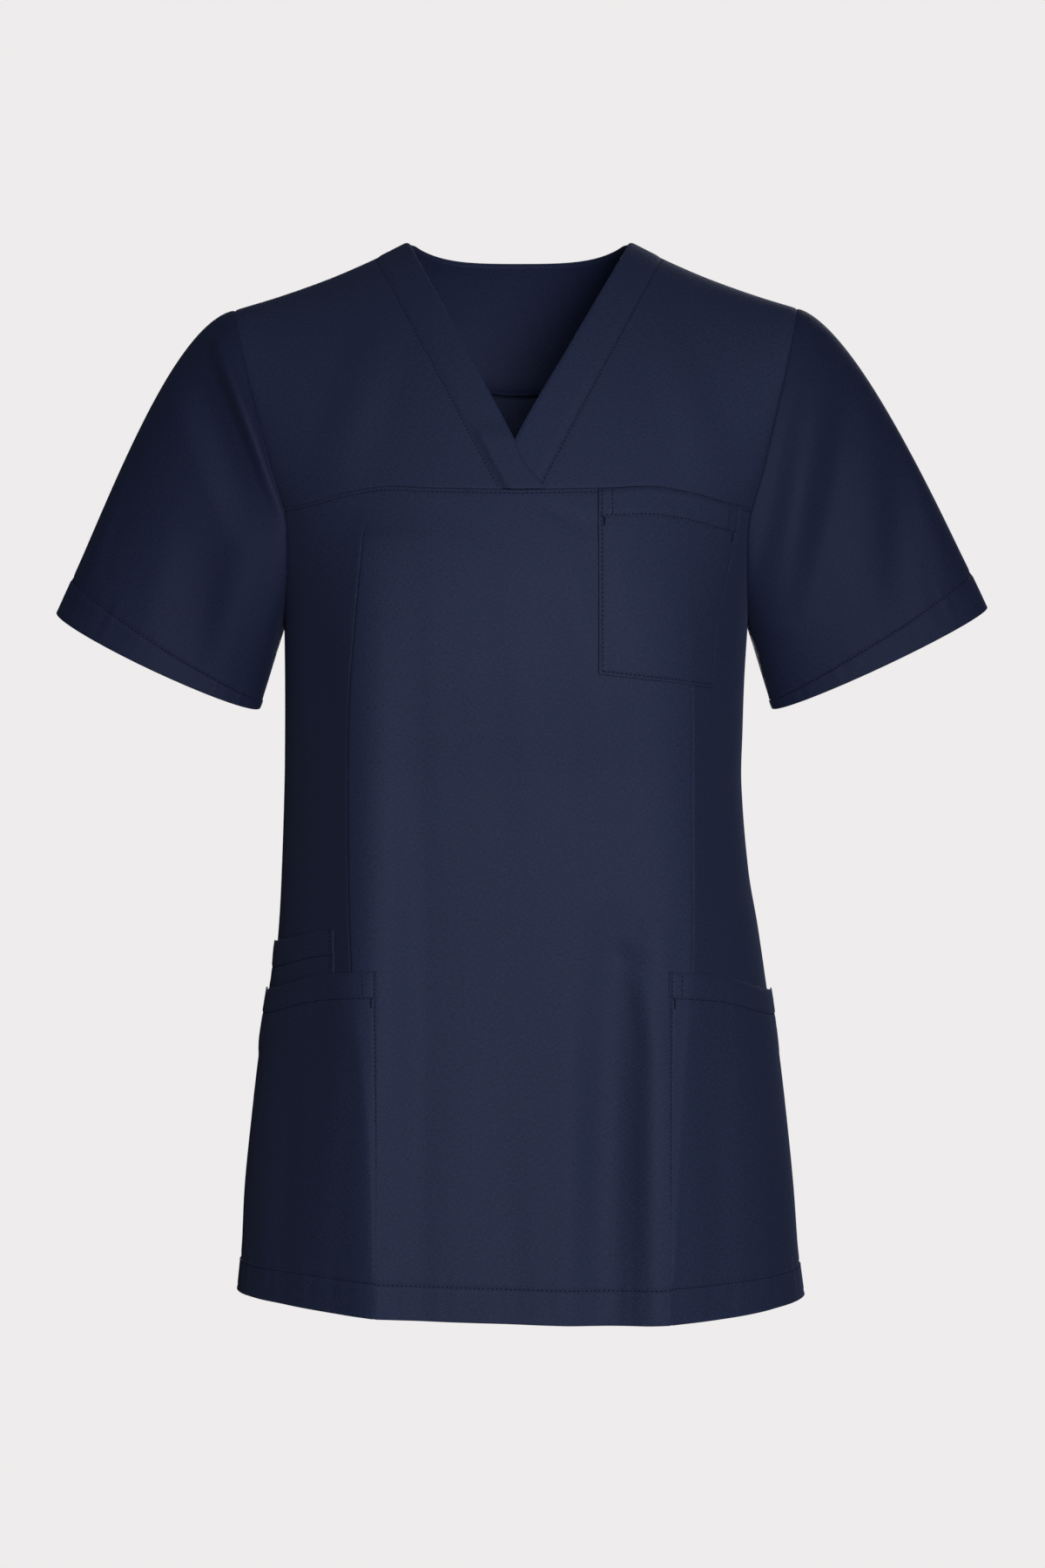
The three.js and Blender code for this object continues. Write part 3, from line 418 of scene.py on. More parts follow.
def woven_twill(name, colour):
    """Dyed polyester and cotton twill: fine even threads, a few thicker ones that show as faint
    slubs, and a slight silky shine from the polyester."""
    material = new_material(name, Roughness=0.68, Specular_IOR_Level=0.2, Specular_Tint=srgb("dbe3ff"),
                            Sheen_Weight=0.12, Sheen_Roughness=0.45, Sheen_Tint=srgb("8796c8"))
    shader = material.node_tree.nodes["Principled BSDF"]
    uv = add_node(material, "ShaderNodeUVMap", {"uv_map": "UVMap"}).outputs[0]
    # Threads are 0.35 mm apart; they are drawn 1300 to the metre, or they would not show at all
    warp = add_node(material, "ShaderNodeMapping", Vector=uv, Scale=(1300, 420, 1)).outputs[0]
    weft = add_node(material, "ShaderNodeMapping", Vector=uv, Scale=(380, 1300, 1)).outputs[0]
    up = add_node(material, "ShaderNodeTexNoise", Vector=warp, Scale=1.0, Detail=2.0).outputs["Fac"]
    over = add_node(material, "ShaderNodeTexNoise", Vector=weft, Scale=1.0, Detail=2.0).outputs["Fac"]
    threads = add_node(material, "ShaderNodeMath", {"operation": "ADD"}, i0=up, i1=over).outputs[0]
    spread = add_node(material, "ShaderNodeMapRange", Value=threads, From_Min=0.7, From_Max=1.3,
                      To_Min=1 - SLUB, To_Max=1 + SLUB).outputs[0]
    tint = add_node(material, "ShaderNodeMix", {"data_type": "RGBA", "blend_type": "MULTIPLY"},
                    i0=1.0, i6=srgb(colour), i7=spread).outputs[2]
    material.node_tree.links.new(tint, shader.inputs["Base Color"])
    bump = add_node(material, "ShaderNodeBump", Height=threads, Strength=0.5, Distance=0.0003).outputs[0]
    material.node_tree.links.new(bump, shader.inputs["Normal"])
    return material


def sewing_thread(name, colour):
    """Spun polyester thread, dyed to match: a little smoother than the cloth, with a fine twist."""
    material = new_material(name, Roughness=0.6, Specular_IOR_Level=0.12)
    shader = material.node_tree.nodes["Principled BSDF"]
    where = add_node(material, "ShaderNodeTexCoord").outputs["Object"]
    twist = add_node(material, "ShaderNodeTexNoise", Vector=where, Scale=2600.0, Detail=1.0).outputs["Fac"]
    tint = add_node(material, "ShaderNodeValToRGB", Fac=twist)
    tint.color_ramp.elements[0].color = tuple(0.75 * c for c in srgb(colour)[:3]) + (1.0,)
    tint.color_ramp.elements[1].color = tuple(1.2 * c for c in srgb(colour)[:3]) + (1.0,)
    material.node_tree.links.new(tint.outputs[0], shader.inputs["Base Color"])
    return material


def join_top(piece, material):
    """Gives a piece its material and fixes it to the garment's one body."""
    piece.data.materials.append(material)
    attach(piece, "root")


def hem_height(side, x):
    """Height of the bottom edge: the front's table, and across the back level with its two ends."""
    if side["out"] < 0:
        return curve(x, HEM_X, HEM_Z)
    return lerp(HEM_Z[0], HEM_Z[-1], np.clip((x - HEM_X[0]) / (HEM_X[-1] - HEM_X[0]), 0, 1))


def puckers(run, seed):
    """Small waves of sewn cloth, of height 1: three sines 9 to 17 mm long, out of step."""
    return (np.sin(run * 2 * np.pi / 11.3 + seed) + np.sin(run * 2 * np.pi / 16.7 + 2.1 * seed)
            + 0.6 * np.sin(run * 2 * np.pi / 7.9 + 3.7 * seed)) / 2.6


def row_pull(distance, deep, wide):
    """A row of stitches pulls the cloth in: -deep e^(-(distance / wide)^2)."""
    return -deep * np.exp(-(distance / wide) ** 2)


def hem_shape(height, run, seed, turn=HEM_TURN):
    """Outward shift of cloth near a turned hem: the doubled band stands out 0.5 mm, its row of
    stitches pulls in 0.75 mm, and both pucker."""
    band = 0.5 * (1 - smooth(height, turn - 0.5, turn + 1.5))
    wave = 0.3 * puckers(run, seed) * (1 - smooth(height, turn, turn + 14)) * smooth(height, -2, 9)
    return band + row_pull(height - turn, 0.75, 1.1) + wave


def move_out(points, distance, closed=False, square=None):
    """Moves every point of a grid along its normal. Where square is set, it stays in its seam plane."""
    normal = normals_of(points, closed)
    if square is not None:
        normal[square, 1] = 0
    return points + normal * (np.zeros(points.shape[:2]) + distance)[..., None]


HEM_X = (-190, -140, -90, -20, 50, 90, 140, 190)
HEM_Z = (-719.5, -722.3, -725, -727.8, -730, -729.6, -728, -723.5)
SEAM_FINE = (0, 0.5, 1.1, 1.9, 3.0, 4.4)
HEM_FINE = (0, 0.8, 2, 4.5, 8, 12, 16, 19, 20.6, 21.4, 22, 22.5, 23, 23.6, 24.4, 26, 28.5)


def seam_dip(distance, deep=0.7, wide=1.6):
    """A seam draws its edges in: -deep e^(-distance / wide)."""
    return -deep * np.exp(-np.abs(distance) / wide)


def neck_across(hand):
    """Place across the back of the high shoulder point, the inverse of across_to_x at the ridge."""
    end = np.arccos(turn_end(BACK, np.array(1.0)))
    part = (NECK_HALF / armhole_reach(hand, np.array(1.0))) ** (ROUND / 2)
    return np.arcsin(np.sin(end) * part) / end


def back_column(step):
    """Place across of a column of the back: neck sin(90 degrees step) up to the neck's end at
    step 1, and evenly on to the armhole at step 2."""
    size, hand = np.abs(step), np.where(step < 0, -1.0, 1.0)
    neck = np.where(hand < 0, neck_across(-1), neck_across(1))
    return hand * np.where(size < 1, neck * np.sin(np.minimum(size, 1) * np.pi / 2),
                           lerp(neck, 1, np.clip(size - 1, 0, 1)))


def back_neck(x):
    """Height of the back neckline: 8 ((x / 72)^4 - 1), level beyond 72 mm."""
    return 8 * (np.minimum(np.abs(x) / 72, 1) ** 4 - 1)


def back_grid(step, low, high):
    """Points of the back: columns from the wearer's left to right, rows from the hem up to the
    underarm and on to the neckline or shoulder seam."""
    step, low = np.broadcast_arrays(step[None], low[:, None])
    across = back_column(step)
    x, z = settle(lambda h, s: across_to_x(BACK, across, h, np.zeros_like(s)),
                  lambda x: lerp(hem_height(BACK, x), UNDERARM, low), across * 150)
    below = body_point(BACK, x, z)
    step, high = np.broadcast_arrays(step[:1], high[:, None])
    across = back_column(step)
    x, z = settle(lambda h, s: across_to_x(BACK, across, h, s),
                  lambda x: lerp(UNDERARM, np.where(np.abs(step) < 0.999, back_neck(x), ridge(x)), high),
                  across * NECK_HALF)
    return np.concatenate([below, body_point(BACK, x, z)])


# Lengths of cloth from the middle to the side, and from the hem to the underarm and the neck
BACK_REACH = 220
BACK_LOW = 458
BACK_HIGH = 262
BACK_PITCH = 3.0
back_half = spaced(BACK_REACH, BACK_PITCH, (), SEAM_FINE)
back_steps = np.concatenate([-2 * back_half[::-1], 2 * back_half[1:]])[::-1]
back_low = spaced(BACK_LOW, 3.2, HEM_FINE)
back_high = spaced(BACK_HIGH, BACK_PITCH, (BACK_PITCH,), SEAM_FINE)
back_points = back_grid(back_steps, back_low, back_high[back_high > 0])
back_run = np.cumsum(np.full(len(back_steps), BACK_PITCH))[None]
back_height = back_points[..., 2] - hem_height(BACK, back_points[..., 0])
back_edge = (2 - np.abs(back_steps))[None] * (BACK_REACH / 2)
top = np.zeros(back_points.shape[:2], bool)
top[-1, np.abs(back_steps) >= 0.999] = True
top[:len(back_low), [0, -1]] = True
back_points = move_out(back_points, hem_shape(back_height, back_run, 0.7) + seam_dip(back_edge), square=top)
back = cloth_wall("back_cloth", back_points, CLOTH, square=top)
navy_cloth = woven_twill("navy_twill_dyed", "252c46")
navy_thread = sewing_thread("navy_spun_thread", "0e1226")
back_stitches = stitch_row("back_hem_stitching", [line_on(
    back_points, False, index_at(HEM_TURN / BACK_LOW, back_low),
    np.linspace(0.5, len(back_steps) - 1.5, 400))])
join_top(back, navy_cloth)
join_top(back_stitches, navy_thread)
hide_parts("back_panel")


# Back neck facing
# A half moon of the same cloth, wrong side up, that finishes the back neck inside. Its
# lower edge is overlocked, which shows as a row of small bumps, and hangs free of the back.
FACING_HALF = 104
FACING_DROP = -96
FACING_LENGTH = 88
FACING_CLOTH = 0.7
LIP_OUT = 8.0
LIP_FADE = 9


def facing_grid(step, up):
    """Columns by the sine of their step, rows from the lower edge, an ellipse arc that drops to
    -96 mm, up to the back neckline. It lies inside the back by its cloth and 2.6 to 1.5 mm."""
    step, up = np.broadcast_arrays(step[None], up[:, None])
    place = np.sin(step * np.pi / 2)
    end = np.abs(step) > 0.999
    across = back_column(np.clip(step, -0.9989, 0.9989))
    neck_x, _ = settle(lambda h, s: across_to_x(BACK, across, h, s), back_neck, across * NECK_HALF)
    low_x = FACING_HALF * place
    low_z = lerp(ridge(np.array(float(FACING_HALF))), FACING_DROP, np.sqrt(1 - place ** 2))
    x = lerp(low_x, neck_x, up)
    share = lerp(share_at(low_x, low_z), share_at(neck_x, back_neck(neck_x) - 0.3), up)
    z = lerp(UNDERARM, ridge(x), np.where(end, 1, share))
    inset = 1.2 + lerp(2.6, 1.5, np.minimum(1, 2 * up))
    normal = np.where(end[..., None], np.array([0.0, 0, 1]), body_normal(BACK, x, z))
    return body_point(BACK, x, z) - normal * inset[..., None]


facing_steps = np.linspace(1, -1, 101)
facing_up = spaced(FACING_LENGTH, 2.0, (0, 1.2, 3.0))
facing_points = facing_grid(facing_steps, facing_up)
lip = np.exp(-facing_up * FACING_LENGTH / LIP_FADE)[:, None] * np.cos(facing_steps * np.pi / 2)[None] ** 0.5
facing_points = move_out(facing_points, -LIP_OUT * lip)
sides = np.zeros(facing_points.shape[:2], bool)
sides[:, [0, -1]] = True
facing = cloth_wall("back_neck_facing_cloth", facing_points, FACING_CLOTH, square=sides)
loops = [line_on(facing_points, False, [0, 1.9], [column, column], -FACING_CLOTH)
         for column in np.linspace(1, len(facing_steps) - 2, 96)]
overlock = stitch_row("facing_overlock", loops, pitch=3.4, length=3.6, thread=1.9)
join_top(facing, woven_twill("navy_twill_wrong_side", "1f2540"))
join_top(overlock, sewing_thread("navy_overlock_thread", "2a3050"))
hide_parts("back_neck_facing")


# Lower front panel
# One panel from the yoke seam to the hem. Two long darts shape it: the cloth stands out beside
# each, most on the middle's side, where the dart is pressed to, and the seam shows as a fine line.
# It is stitched 2.4 mm below the yoke seam and at its turned hem.
FRONT = dict(out=-1, middle=138, roundness=1.4, armhole=58,
             depth=(139, 138, 136, 134, 132.5, 131, 130, 129.5, 130, 134.6, 137.8, 138))
YOKE_X = (0, 60, 90, 118, 136, 158, 170)
YOKE_Z = (-178, -176.5, -175, -179, -183.5, -187, -189)
DART_Z = (-732, -600, -498, -373, -316, -255, -215, -170)
DART_RIGHT = (-95, -99, -110, -112.7, -111.5, -107, -103.5, -100)
DART_LEFT = (100, 106, 114, 115, 114.5, 112, 109, 106)
DART_RISE = (5, 5, 5, 4.5, 3.5, 1.2, 0, 0)
DART_REACH = 58
FRONT["folds"] = (
    (62, -474, 57, -770, 30, -8.5), (-40, -560, -52, -745, 38, 3), (20, -250, 40, -430, 34, -2.5),
    (-150, -240, -128, -330, 26, -3), (-92, -60, -122, -168, 26, 2.5), (96, -60, 128, -168, 26, 2.5),
    (91, -470, 90, -770, 17, 2.8), (52, -478, 92, -500, 13, -1.4), (46, -205, 64, -300, 17, -1.5),
    (-60, -186, -18, -214, 12, -1.0), (-66, -215, -58, -420, 26, 1.4), (-20, -240, -10, -420, 22, -0.8),
    (10, -186, 50, -204, 10, -0.8), (72, -470, 92, -560, 12, 1.2), (-138, -330, -142, -520, 18, 1.2),
    (134, -330, 142, -500, 18, -1.2), (-120, -520, -134, -740, 16, 1.3), (-150, -560, -160, -745, 14, -1.6),
    (126, -540, 134, -740, 18, -1.2), (-10, -600, -4, -745, 20, -1.2), (-88, -560, -86, -740, 12, -1.0),
    (-99, -225, -97, -800, 38, 10.5), (102, -260, 102, -800, 38, 3.5), (0, -180, 0, -800, 112, -8.0),
    (-162, -290, -172, -800, 50, -8.0), (-183, -610, -178, -720, 9, -2.2), (176, -600, 172, -720, 9, -1.8),
)


def dart_line(hand, z):
    """x of a dart at a height, on the wearer's right or left."""
    return np.where(np.asarray(hand) < 0, curve(z, DART_Z, DART_RIGHT), curve(z, DART_Z, DART_LEFT))


def dart_rise(x, z):
    """rise (1 - |x - line| / 58)^2 beside each dart."""
    away = np.minimum(np.abs(x - dart_line(x, z)) / DART_REACH, 1)
    return curve(z, DART_Z, DART_RISE) * (1 - away) ** 2


FRONT["darts"] = dart_rise


def seam_height(x):
    """Height of the yoke seam."""
    return curve(np.abs(x), YOKE_X, YOKE_Z)


def front_column(step, z):
    """Place across of a column of the front: darts at steps -1 and 1, armholes at -2 and 2."""
    right = x_to_across(FRONT, dart_line(-1, z), z)
    left = x_to_across(FRONT, dart_line(1, z), z)
    middle = lerp(right, left, (np.clip(step, -1, 1) + 1) / 2)
    return np.where(step < -1, lerp(-1, right, step + 2),
                    np.where(step > 1, lerp(left, 1, step - 1), middle))


def front_grid(step, up):
    """Points of the lower front, rows from the hem (0) to the underarm (1) and the yoke seam (2)."""
    step, up = np.broadcast_arrays(step[None], up[:, None])

    def z_of(x):
        return np.where(up <= 1, lerp(hem_height(FRONT, x), UNDERARM, np.minimum(up, 1)),
                        lerp(UNDERARM, seam_height(x) - 0.2, np.maximum(up - 1, 0)))

    return settle(lambda z, s: across_to_x(FRONT, front_column(step, z), z, s), z_of, step * 95)


# Lengths of cloth from the side to a dart, between the darts, and from the hem to the underarm and
# on to the yoke seam
FRONT_SIDE = 92
FRONT_MIDDLE = 260
FRONT_LOW = 462
FRONT_HIGH = 84
DART_FINE = (0, 0.5, 1.0, 1.7, 2.8, 4.4)
YOKE_SEAM_ROW = 2.4
side_steps = spaced(FRONT_SIDE, 2.2, SEAM_FINE, DART_FINE) - 2
middle_steps = spaced(FRONT_MIDDLE, 2.5, DART_FINE, DART_FINE) * 2 - 1
front_steps = np.concatenate([side_steps, middle_steps[1:], -side_steps[::-1][1:]])
front_low = spaced(FRONT_LOW, 3.0, HEM_FINE)
front_high = 1 + spaced(FRONT_HIGH, 2.4, (0, 2.4), (0, 0.4, 0.9, 1.5, 2.2, 3.0, 4.2))
front_up = np.concatenate([front_low, front_high[1:]])
fx, fz = front_grid(front_steps, front_up)
front_points = body_point(FRONT, fx, fz)
level = front_points[10]
front_run = np.cumsum(np.linalg.norm(np.diff(level, axis=0, prepend=level[:1]), axis=-1))[None]
to_side = (2 - np.abs(front_steps))[None] * FRONT_SIDE
to_dart = np.abs(fx - dart_line(fx, fz))
to_yoke = seam_height(fx) - fz
dart_on = smooth(-fz, 200, 214)
inside_darts = np.minimum(fx - dart_line(-1, fz), dart_line(1, fz) - fx)
# The dart's edge: 2.3 mm out on the middle's side of its seam and 1.5 mm on the other
pressed = np.where(inside_darts > 0, 2.3 * np.exp(-inside_darts / 26), 1.5 * np.exp(inside_darts / 9))
front_shift = (hem_shape(fz - hem_height(FRONT, fx), front_run, 1.9)
               + seam_dip(to_side) + seam_dip(to_yoke, 0.8, 0.9)
               + dart_on * (seam_dip(to_dart, 1.6, 0.5) + pressed)
               + row_pull(to_yoke - YOKE_SEAM_ROW, 0.3, 0.8)
               + 0.12 * puckers(fx, 0.4) * np.exp(-to_yoke / 5))
sides = np.zeros(front_points.shape[:2], bool)
sides[:len(front_low), [0, -1]] = True
front_points = move_out(front_points, front_shift, square=sides)
front = cloth_wall("lower_front_cloth", front_points, CLOTH, square=sides)
front_stitches = stitch_row("lower_front_stitching", [
    line_on(front_points, False, index_at(HEM_TURN / FRONT_LOW, front_low),
            np.linspace(0.5, len(front_steps) - 1.5, 500)),
    line_on(front_points, False, index_at(2 - YOKE_SEAM_ROW / FRONT_HIGH, front_up),
            np.linspace(1, len(front_steps) - 2, 400))])
join_top(front, navy_cloth)
join_top(front_stitches, navy_thread)
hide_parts("front_body")


# Front yokes
# The two upper front pieces, from the neck band out to the armhole and from the yoke seam up
# to the shoulder seam. Beside the band the yoke is stitched down along the seam.
BAND_Z = (-182, -176.5, -17.4, 0)
BAND_X = (9.6, 12.5, 95, 104)
YOKES = {-1: "yoke_right_cloth", 1: "yoke_left_cloth"}
YOKE_WIDTH = 118
YOKE_LENGTH = 150
YOKE_ROW = 1.2


def yoke_grid(hand, across, up):
    """Columns from the band's seam out to the armhole, rows from the yoke seam to the ridge."""
    across, up = np.broadcast_arrays(across[None], up[:, None])
    return settle(lambda z, s: hand * lerp(curve(z, BAND_Z, BAND_X) + 0.1,
                                           np.abs(across_to_x(FRONT, hand, z, s)), across),
                  lambda x: lerp(seam_height(x) + 0.05, ridge(x), up), hand * NECK_HALF + 0 * across)


def shoulder_wall(name, hand, points, shift, thickness):
    """A wall whose top row stays in the plane of the shoulder seam, and its points. On the wearer's
    right the columns are turned round, so that it faces out."""
    if hand < 0:
        points, shift = points[:, ::-1], shift[:, ::-1]
    top = np.zeros(points.shape[:2], bool)
    top[-1] = True
    points = move_out(points, shift, square=top)
    return cloth_wall(name, points, thickness, square=top), points


def front_yoke(hand, node):
    """One yoke with its row of stitches along the band."""
    name = YOKES[hand]
    across = spaced(YOKE_WIDTH, 2.0, (0, 0.5, 1.2, 2.0, 3.0), SEAM_FINE)
    up = spaced(YOKE_LENGTH, 2.2, SEAM_FINE, SEAM_FINE)
    x, z = yoke_grid(hand, across, up)
    to_band = across[None] * YOKE_WIDTH
    shift = (seam_dip((1 - across)[None] * YOKE_WIDTH) + seam_dip(to_band, 0.25, 0.6)
             + seam_dip(z - seam_height(x), 0.35, 0.8) + seam_dip(ridge(x) - z, 0.3, 1.2)
             + row_pull(to_band - YOKE_ROW, 0.3, 0.7))
    yoke, points = shoulder_wall(name, hand, body_point(FRONT, x, z), shift, CLOTH)
    column = index_at(YOKE_ROW / YOKE_WIDTH, across)
    column = column if hand > 0 else len(across) - 1 - column
    rows = np.linspace(1, len(up) - 2, 300)
    stitches = stitch_row(name + "_stitching", [line_on(points, False, rows, column)])
    join_top(yoke, navy_cloth)
    join_top(stitches, navy_thread)
    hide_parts(node)


front_yoke(-1, "front_yoke_right")
front_yoke(1, "front_yoke_left")


# Neck bands
# A strip of cloth folded double along each side of the V. The right one lies on top
# where they cross, and both end in the yoke seam.
UPPER_Z = (-182, -176.4, -170, -163.6, -156, -144, -77, -10, 0, 12)
UPPER_X = (20, 17.6, 12.3, 6.8, 1.8, -3, -37.3, -71.6, -76.8, -83)
LOWER_Z = (-182, -160, -144, -77, -10, 0, 12)
LOWER_X = (-6, -5.2, -2.6, 34.6, 71.6, 76.8, 83)
BAND_WIDTH = 26
BAND_LENGTH = 180
BAND_CLOTH = 1.1


def neck_band(hand, inner_z, inner_x, lift, name, node):
    """One band: columns from its folded inner edge to its outer seam, rows from the yoke seam to
    the shoulder. Near the crossing it is lifted over the other band."""
    across = spaced(BAND_WIDTH, 1.2, (0, 0.4, 0.9, 1.5), (0, 0.5, 1.1, 2.0))
    up = spaced(BAND_LENGTH, 2.0, SEAM_FINE, SEAM_FINE)
    s, f = np.broadcast_arrays(across[None], up[:, None])
    x, z = settle(lambda h, _: lerp(curve(h, inner_z, inner_x), hand * curve(h, BAND_Z, BAND_X), s),
                  lambda x: lerp(seam_height(x) + 0.2, ridge(x), f), 0 * s)
    points = body_point(FRONT, x, z)
    points[..., 1] -= lift * (1 - smooth(z, -144, -130)) * (1 - smooth(s, 0.76, 1))
    to_fold = s * BAND_WIDTH
    shift = (0.45 * smooth(to_fold, 0, 2.5) * (1 - smooth(to_fold, 21, 25))
             + seam_dip((1 - s) * BAND_WIDTH, 0.25, 0.6) + seam_dip(to_fold, 0.3, 0.8)
             + seam_dip(z - seam_height(x), 0.35, 0.8))
    band = shoulder_wall(name, hand, points, shift, BAND_CLOTH)[0]
    join_top(band, navy_cloth)
    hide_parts(node)


neck_band(1, LOWER_Z, LOWER_X, 0, "band_left_cloth", "neck_band_left")
neck_band(-1, UPPER_Z, UPPER_X, 1.9, "band_right_cloth", "neck_band_right")


# Sleeves
# Each is one piece, sewn to a tube and set into the armhole. The cloth breaks into folds
# beside the armhole seam and hangs straight to a stitched 20 mm hem.
SLEEVE_TURN = 20.0
SLEEVE_LENGTH = 190
SLEEVE_GIRTH = 430
SLEEVE_COLUMNS = 190
SLEEVE_ALLOWANCE = 3.0
SLEEVE_HEM_FINE = HEM_FINE[:6] + (16, 18, 19, 19.6, 20, 20.5, 21.2, 22.4, 24.5)
CUFFS = {-1: dict(x=248.4, z=-287.8, half=77, slope=math.radians(25.4), dip=7.5),
         1: dict(x=248.3, z=-286, half=81.5, slope=math.radians(25.3), dip=6)}
# Directions in which a line leaves the armhole and arrives at the cuff, at the top and underarm
LEAVE_TOP = {-1: (135, 0, -30), 1: (122, 0, -34)}
ARRIVE_TOP = (99, 0, -207)
LEAVE_LOW = (18, 0, -55)
ARRIVE_LOW = (19, 0, -56)
# Folds by hand, right -1 or left 1, and by side, front -1 or back 1
SLEEVE_FOLDS = {
    (-1, -1): ((-226, -80, -180, -194, 24, -5.5), (-204, -74, -158, -182, 11.5, 10.0),
               (-208, -200, -229, -300, 34, -4.5), (-264, -96, -294, -225, 15, 3.2),
               (-190, -215, -206, -300, 18, 1.6)),
    (-1, 1): ((-206, -96, -186, -190, 20, -6), (-240, -160, -224, -280, 26, -3),
              (-226, -110, -232, -210, 18, 1.5)),
    (1, -1): ((207, -90, 175, -262, 23, 7.5), (242, -130, 226, -270, 24, 2.0),
              (258, -130, 260, -262, 18, -2.5), (278, -140, 292, -240, 16, 2.4)),
    (1, 1): ((208, -96, 188, -190, 20, -6), (244, -160, 230, -276, 26, -3),
             (228, -110, 236, -210, 18, 1.5)),
}


def sleeve_grid(hand, turn, f):
    """Each lengthwise line is the cubic from the armhole (f 0) to the cuff (f 1) with its own start
    and end directions; turn runs round from the underarm over the front, the shoulder and the back."""
    turn, f = np.broadcast_arrays(turn[None], f[:, None])
    angle = turn * 2 * np.pi
    high = (1 - np.cos(angle)) / 2
    reach = armhole_reach(hand, high)
    depth = np.where(turn < 0.5, -armhole_depth(FRONT, high), armhole_depth(BACK, high))
    start = np.stack([shift_at(lerp(UNDERARM, ridge(reach), high)) + hand * (reach + 0.1), depth,
                      lerp(UNDERARM, ridge(reach), high)], -1)
    cuff = CUFFS[hand]
    dip = np.where(np.sin(angle) > 0, cuff["dip"], 4) * np.sin(angle)
    along, tilt = cuff["half"] * np.cos(angle), cuff["slope"]
    end = np.stack([hand * (cuff["x"] - along * np.cos(tilt) + dip * np.sin(tilt)), -40 * np.sin(angle),
                    cuff["z"] - along * np.sin(tilt) - dip * np.cos(tilt)], -1)
    mirror = np.array([hand, 1, 1])
    leave = lerp(np.array(LEAVE_LOW), np.array(LEAVE_TOP[hand]), high[..., None]) * mirror
    arrive = lerp(np.array(ARRIVE_LOW), np.array(ARRIVE_TOP), high[..., None]) * mirror
    g = f[..., None]
    r = g * g * (3 - 2 * g)
    points = (1 - r) * start + r * end + g * (1 - g) ** 2 * leave - g * g * (1 - g) * arrive
    facing = np.minimum(1, 2 * np.abs(np.sin(angle))) * np.minimum(1, f / 0.12)
    front = fold_rise(SLEEVE_FOLDS[hand, -1], points[..., 0], points[..., 2])
    behind = fold_rise(SLEEVE_FOLDS[hand, 1], points[..., 0], points[..., 2])
    points[..., 1] += np.where(turn <= 0.5, -front, behind) * facing
    return points


# The sleeves take a darker copy of the navy twill: its colour is painted shade, so they look less lit than
# the body
navy_sleeve_painted_shade = woven_twill("navy_twill_sleeve_painted_shade", "1c223b")


def sleeve(hand, name, node):
    """One sleeve with its seam drawn in at the armhole and its stitched hem."""
    turn = np.arange(SLEEVE_COLUMNS) / SLEEVE_COLUMNS
    down = spaced(SLEEVE_LENGTH, 2.3, SEAM_FINE, SLEEVE_HEM_FINE)
    points = sleeve_grid(hand, turn, down[::-1])
    if hand < 0:
        points = points[:, ::-1]
    length = (1 - down[::-1])[:, None] * SLEEVE_LENGTH
    run = turn[None] * SLEEVE_GIRTH
    shift = hem_shape(length, run, 1.3 + hand, SLEEVE_TURN) + seam_dip(SLEEVE_LENGTH - length, 0.9, 1.8)
    points = move_out(points, shift, True)
    # Past the seam the cloth goes on inside the body, as a short stretch of its allowance
    inward = normals_of(points, True)[-1:] * 1.2
    allowance = points[-1:] - inward - np.array([hand * SLEEVE_ALLOWANCE, 0, 0])
    points = np.concatenate([points, lerp(points[-1:], allowance, 0.5), allowance])
    length = np.concatenate([length, SLEEVE_LENGTH + SLEEVE_ALLOWANCE * np.array([[0.5], [1]])])
    tube = cloth_wall(name, points, CLOTH, closed=True)
    row = index_at(SLEEVE_TURN, length[:, 0])
    stitches = stitch_row(name + "_stitching", [
        line_on(points, True, row, np.linspace(0, SLEEVE_COLUMNS, 600))])
    # The tube gets the darker copy of the cloth, painted shade
    join_top(tube, navy_sleeve_painted_shade)
    join_top(stitches, navy_thread)
    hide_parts(node)


sleeve(-1, "sleeve_right_cloth", "sleeve_right")
sleeve(1, "sleeve_left_cloth", "sleeve_left")


# Pockets
# Patches of the same cloth sewn on 2 mm inside their edges, each with its mouth turned
# over and stitched as a doubled band. The chest pocket hangs from the yoke seam.
CHEST_OUTER_Z = (-310, -264, -243, -221, -203, -180)
CHEST_OUTER_X = (128.5, 131.7, 137, 142, 146, 148.5)
CHEST_LOW_X = (50, 91, 130)
CHEST_LOW_Z = (-300, -304.5, -308.5)
MOUTH_X = (92, 112, 137, 166, 175)
MOUTH_Z = (-497, -498.5, -502.5, -513, -516)
UTILITY_X = (120, 140, 170)
UTILITY_Z = (-470, -473.5, -482)
POCKET_CLOTH = 0.8


def belly(s, f):
    """(sin(pi s) sin(pi f))^0.6, kept a little above nothing at the top and bottom."""
    return (np.sin(np.pi * s) * np.sin(np.pi * np.clip(f, 0.04, 0.96))) ** 0.6


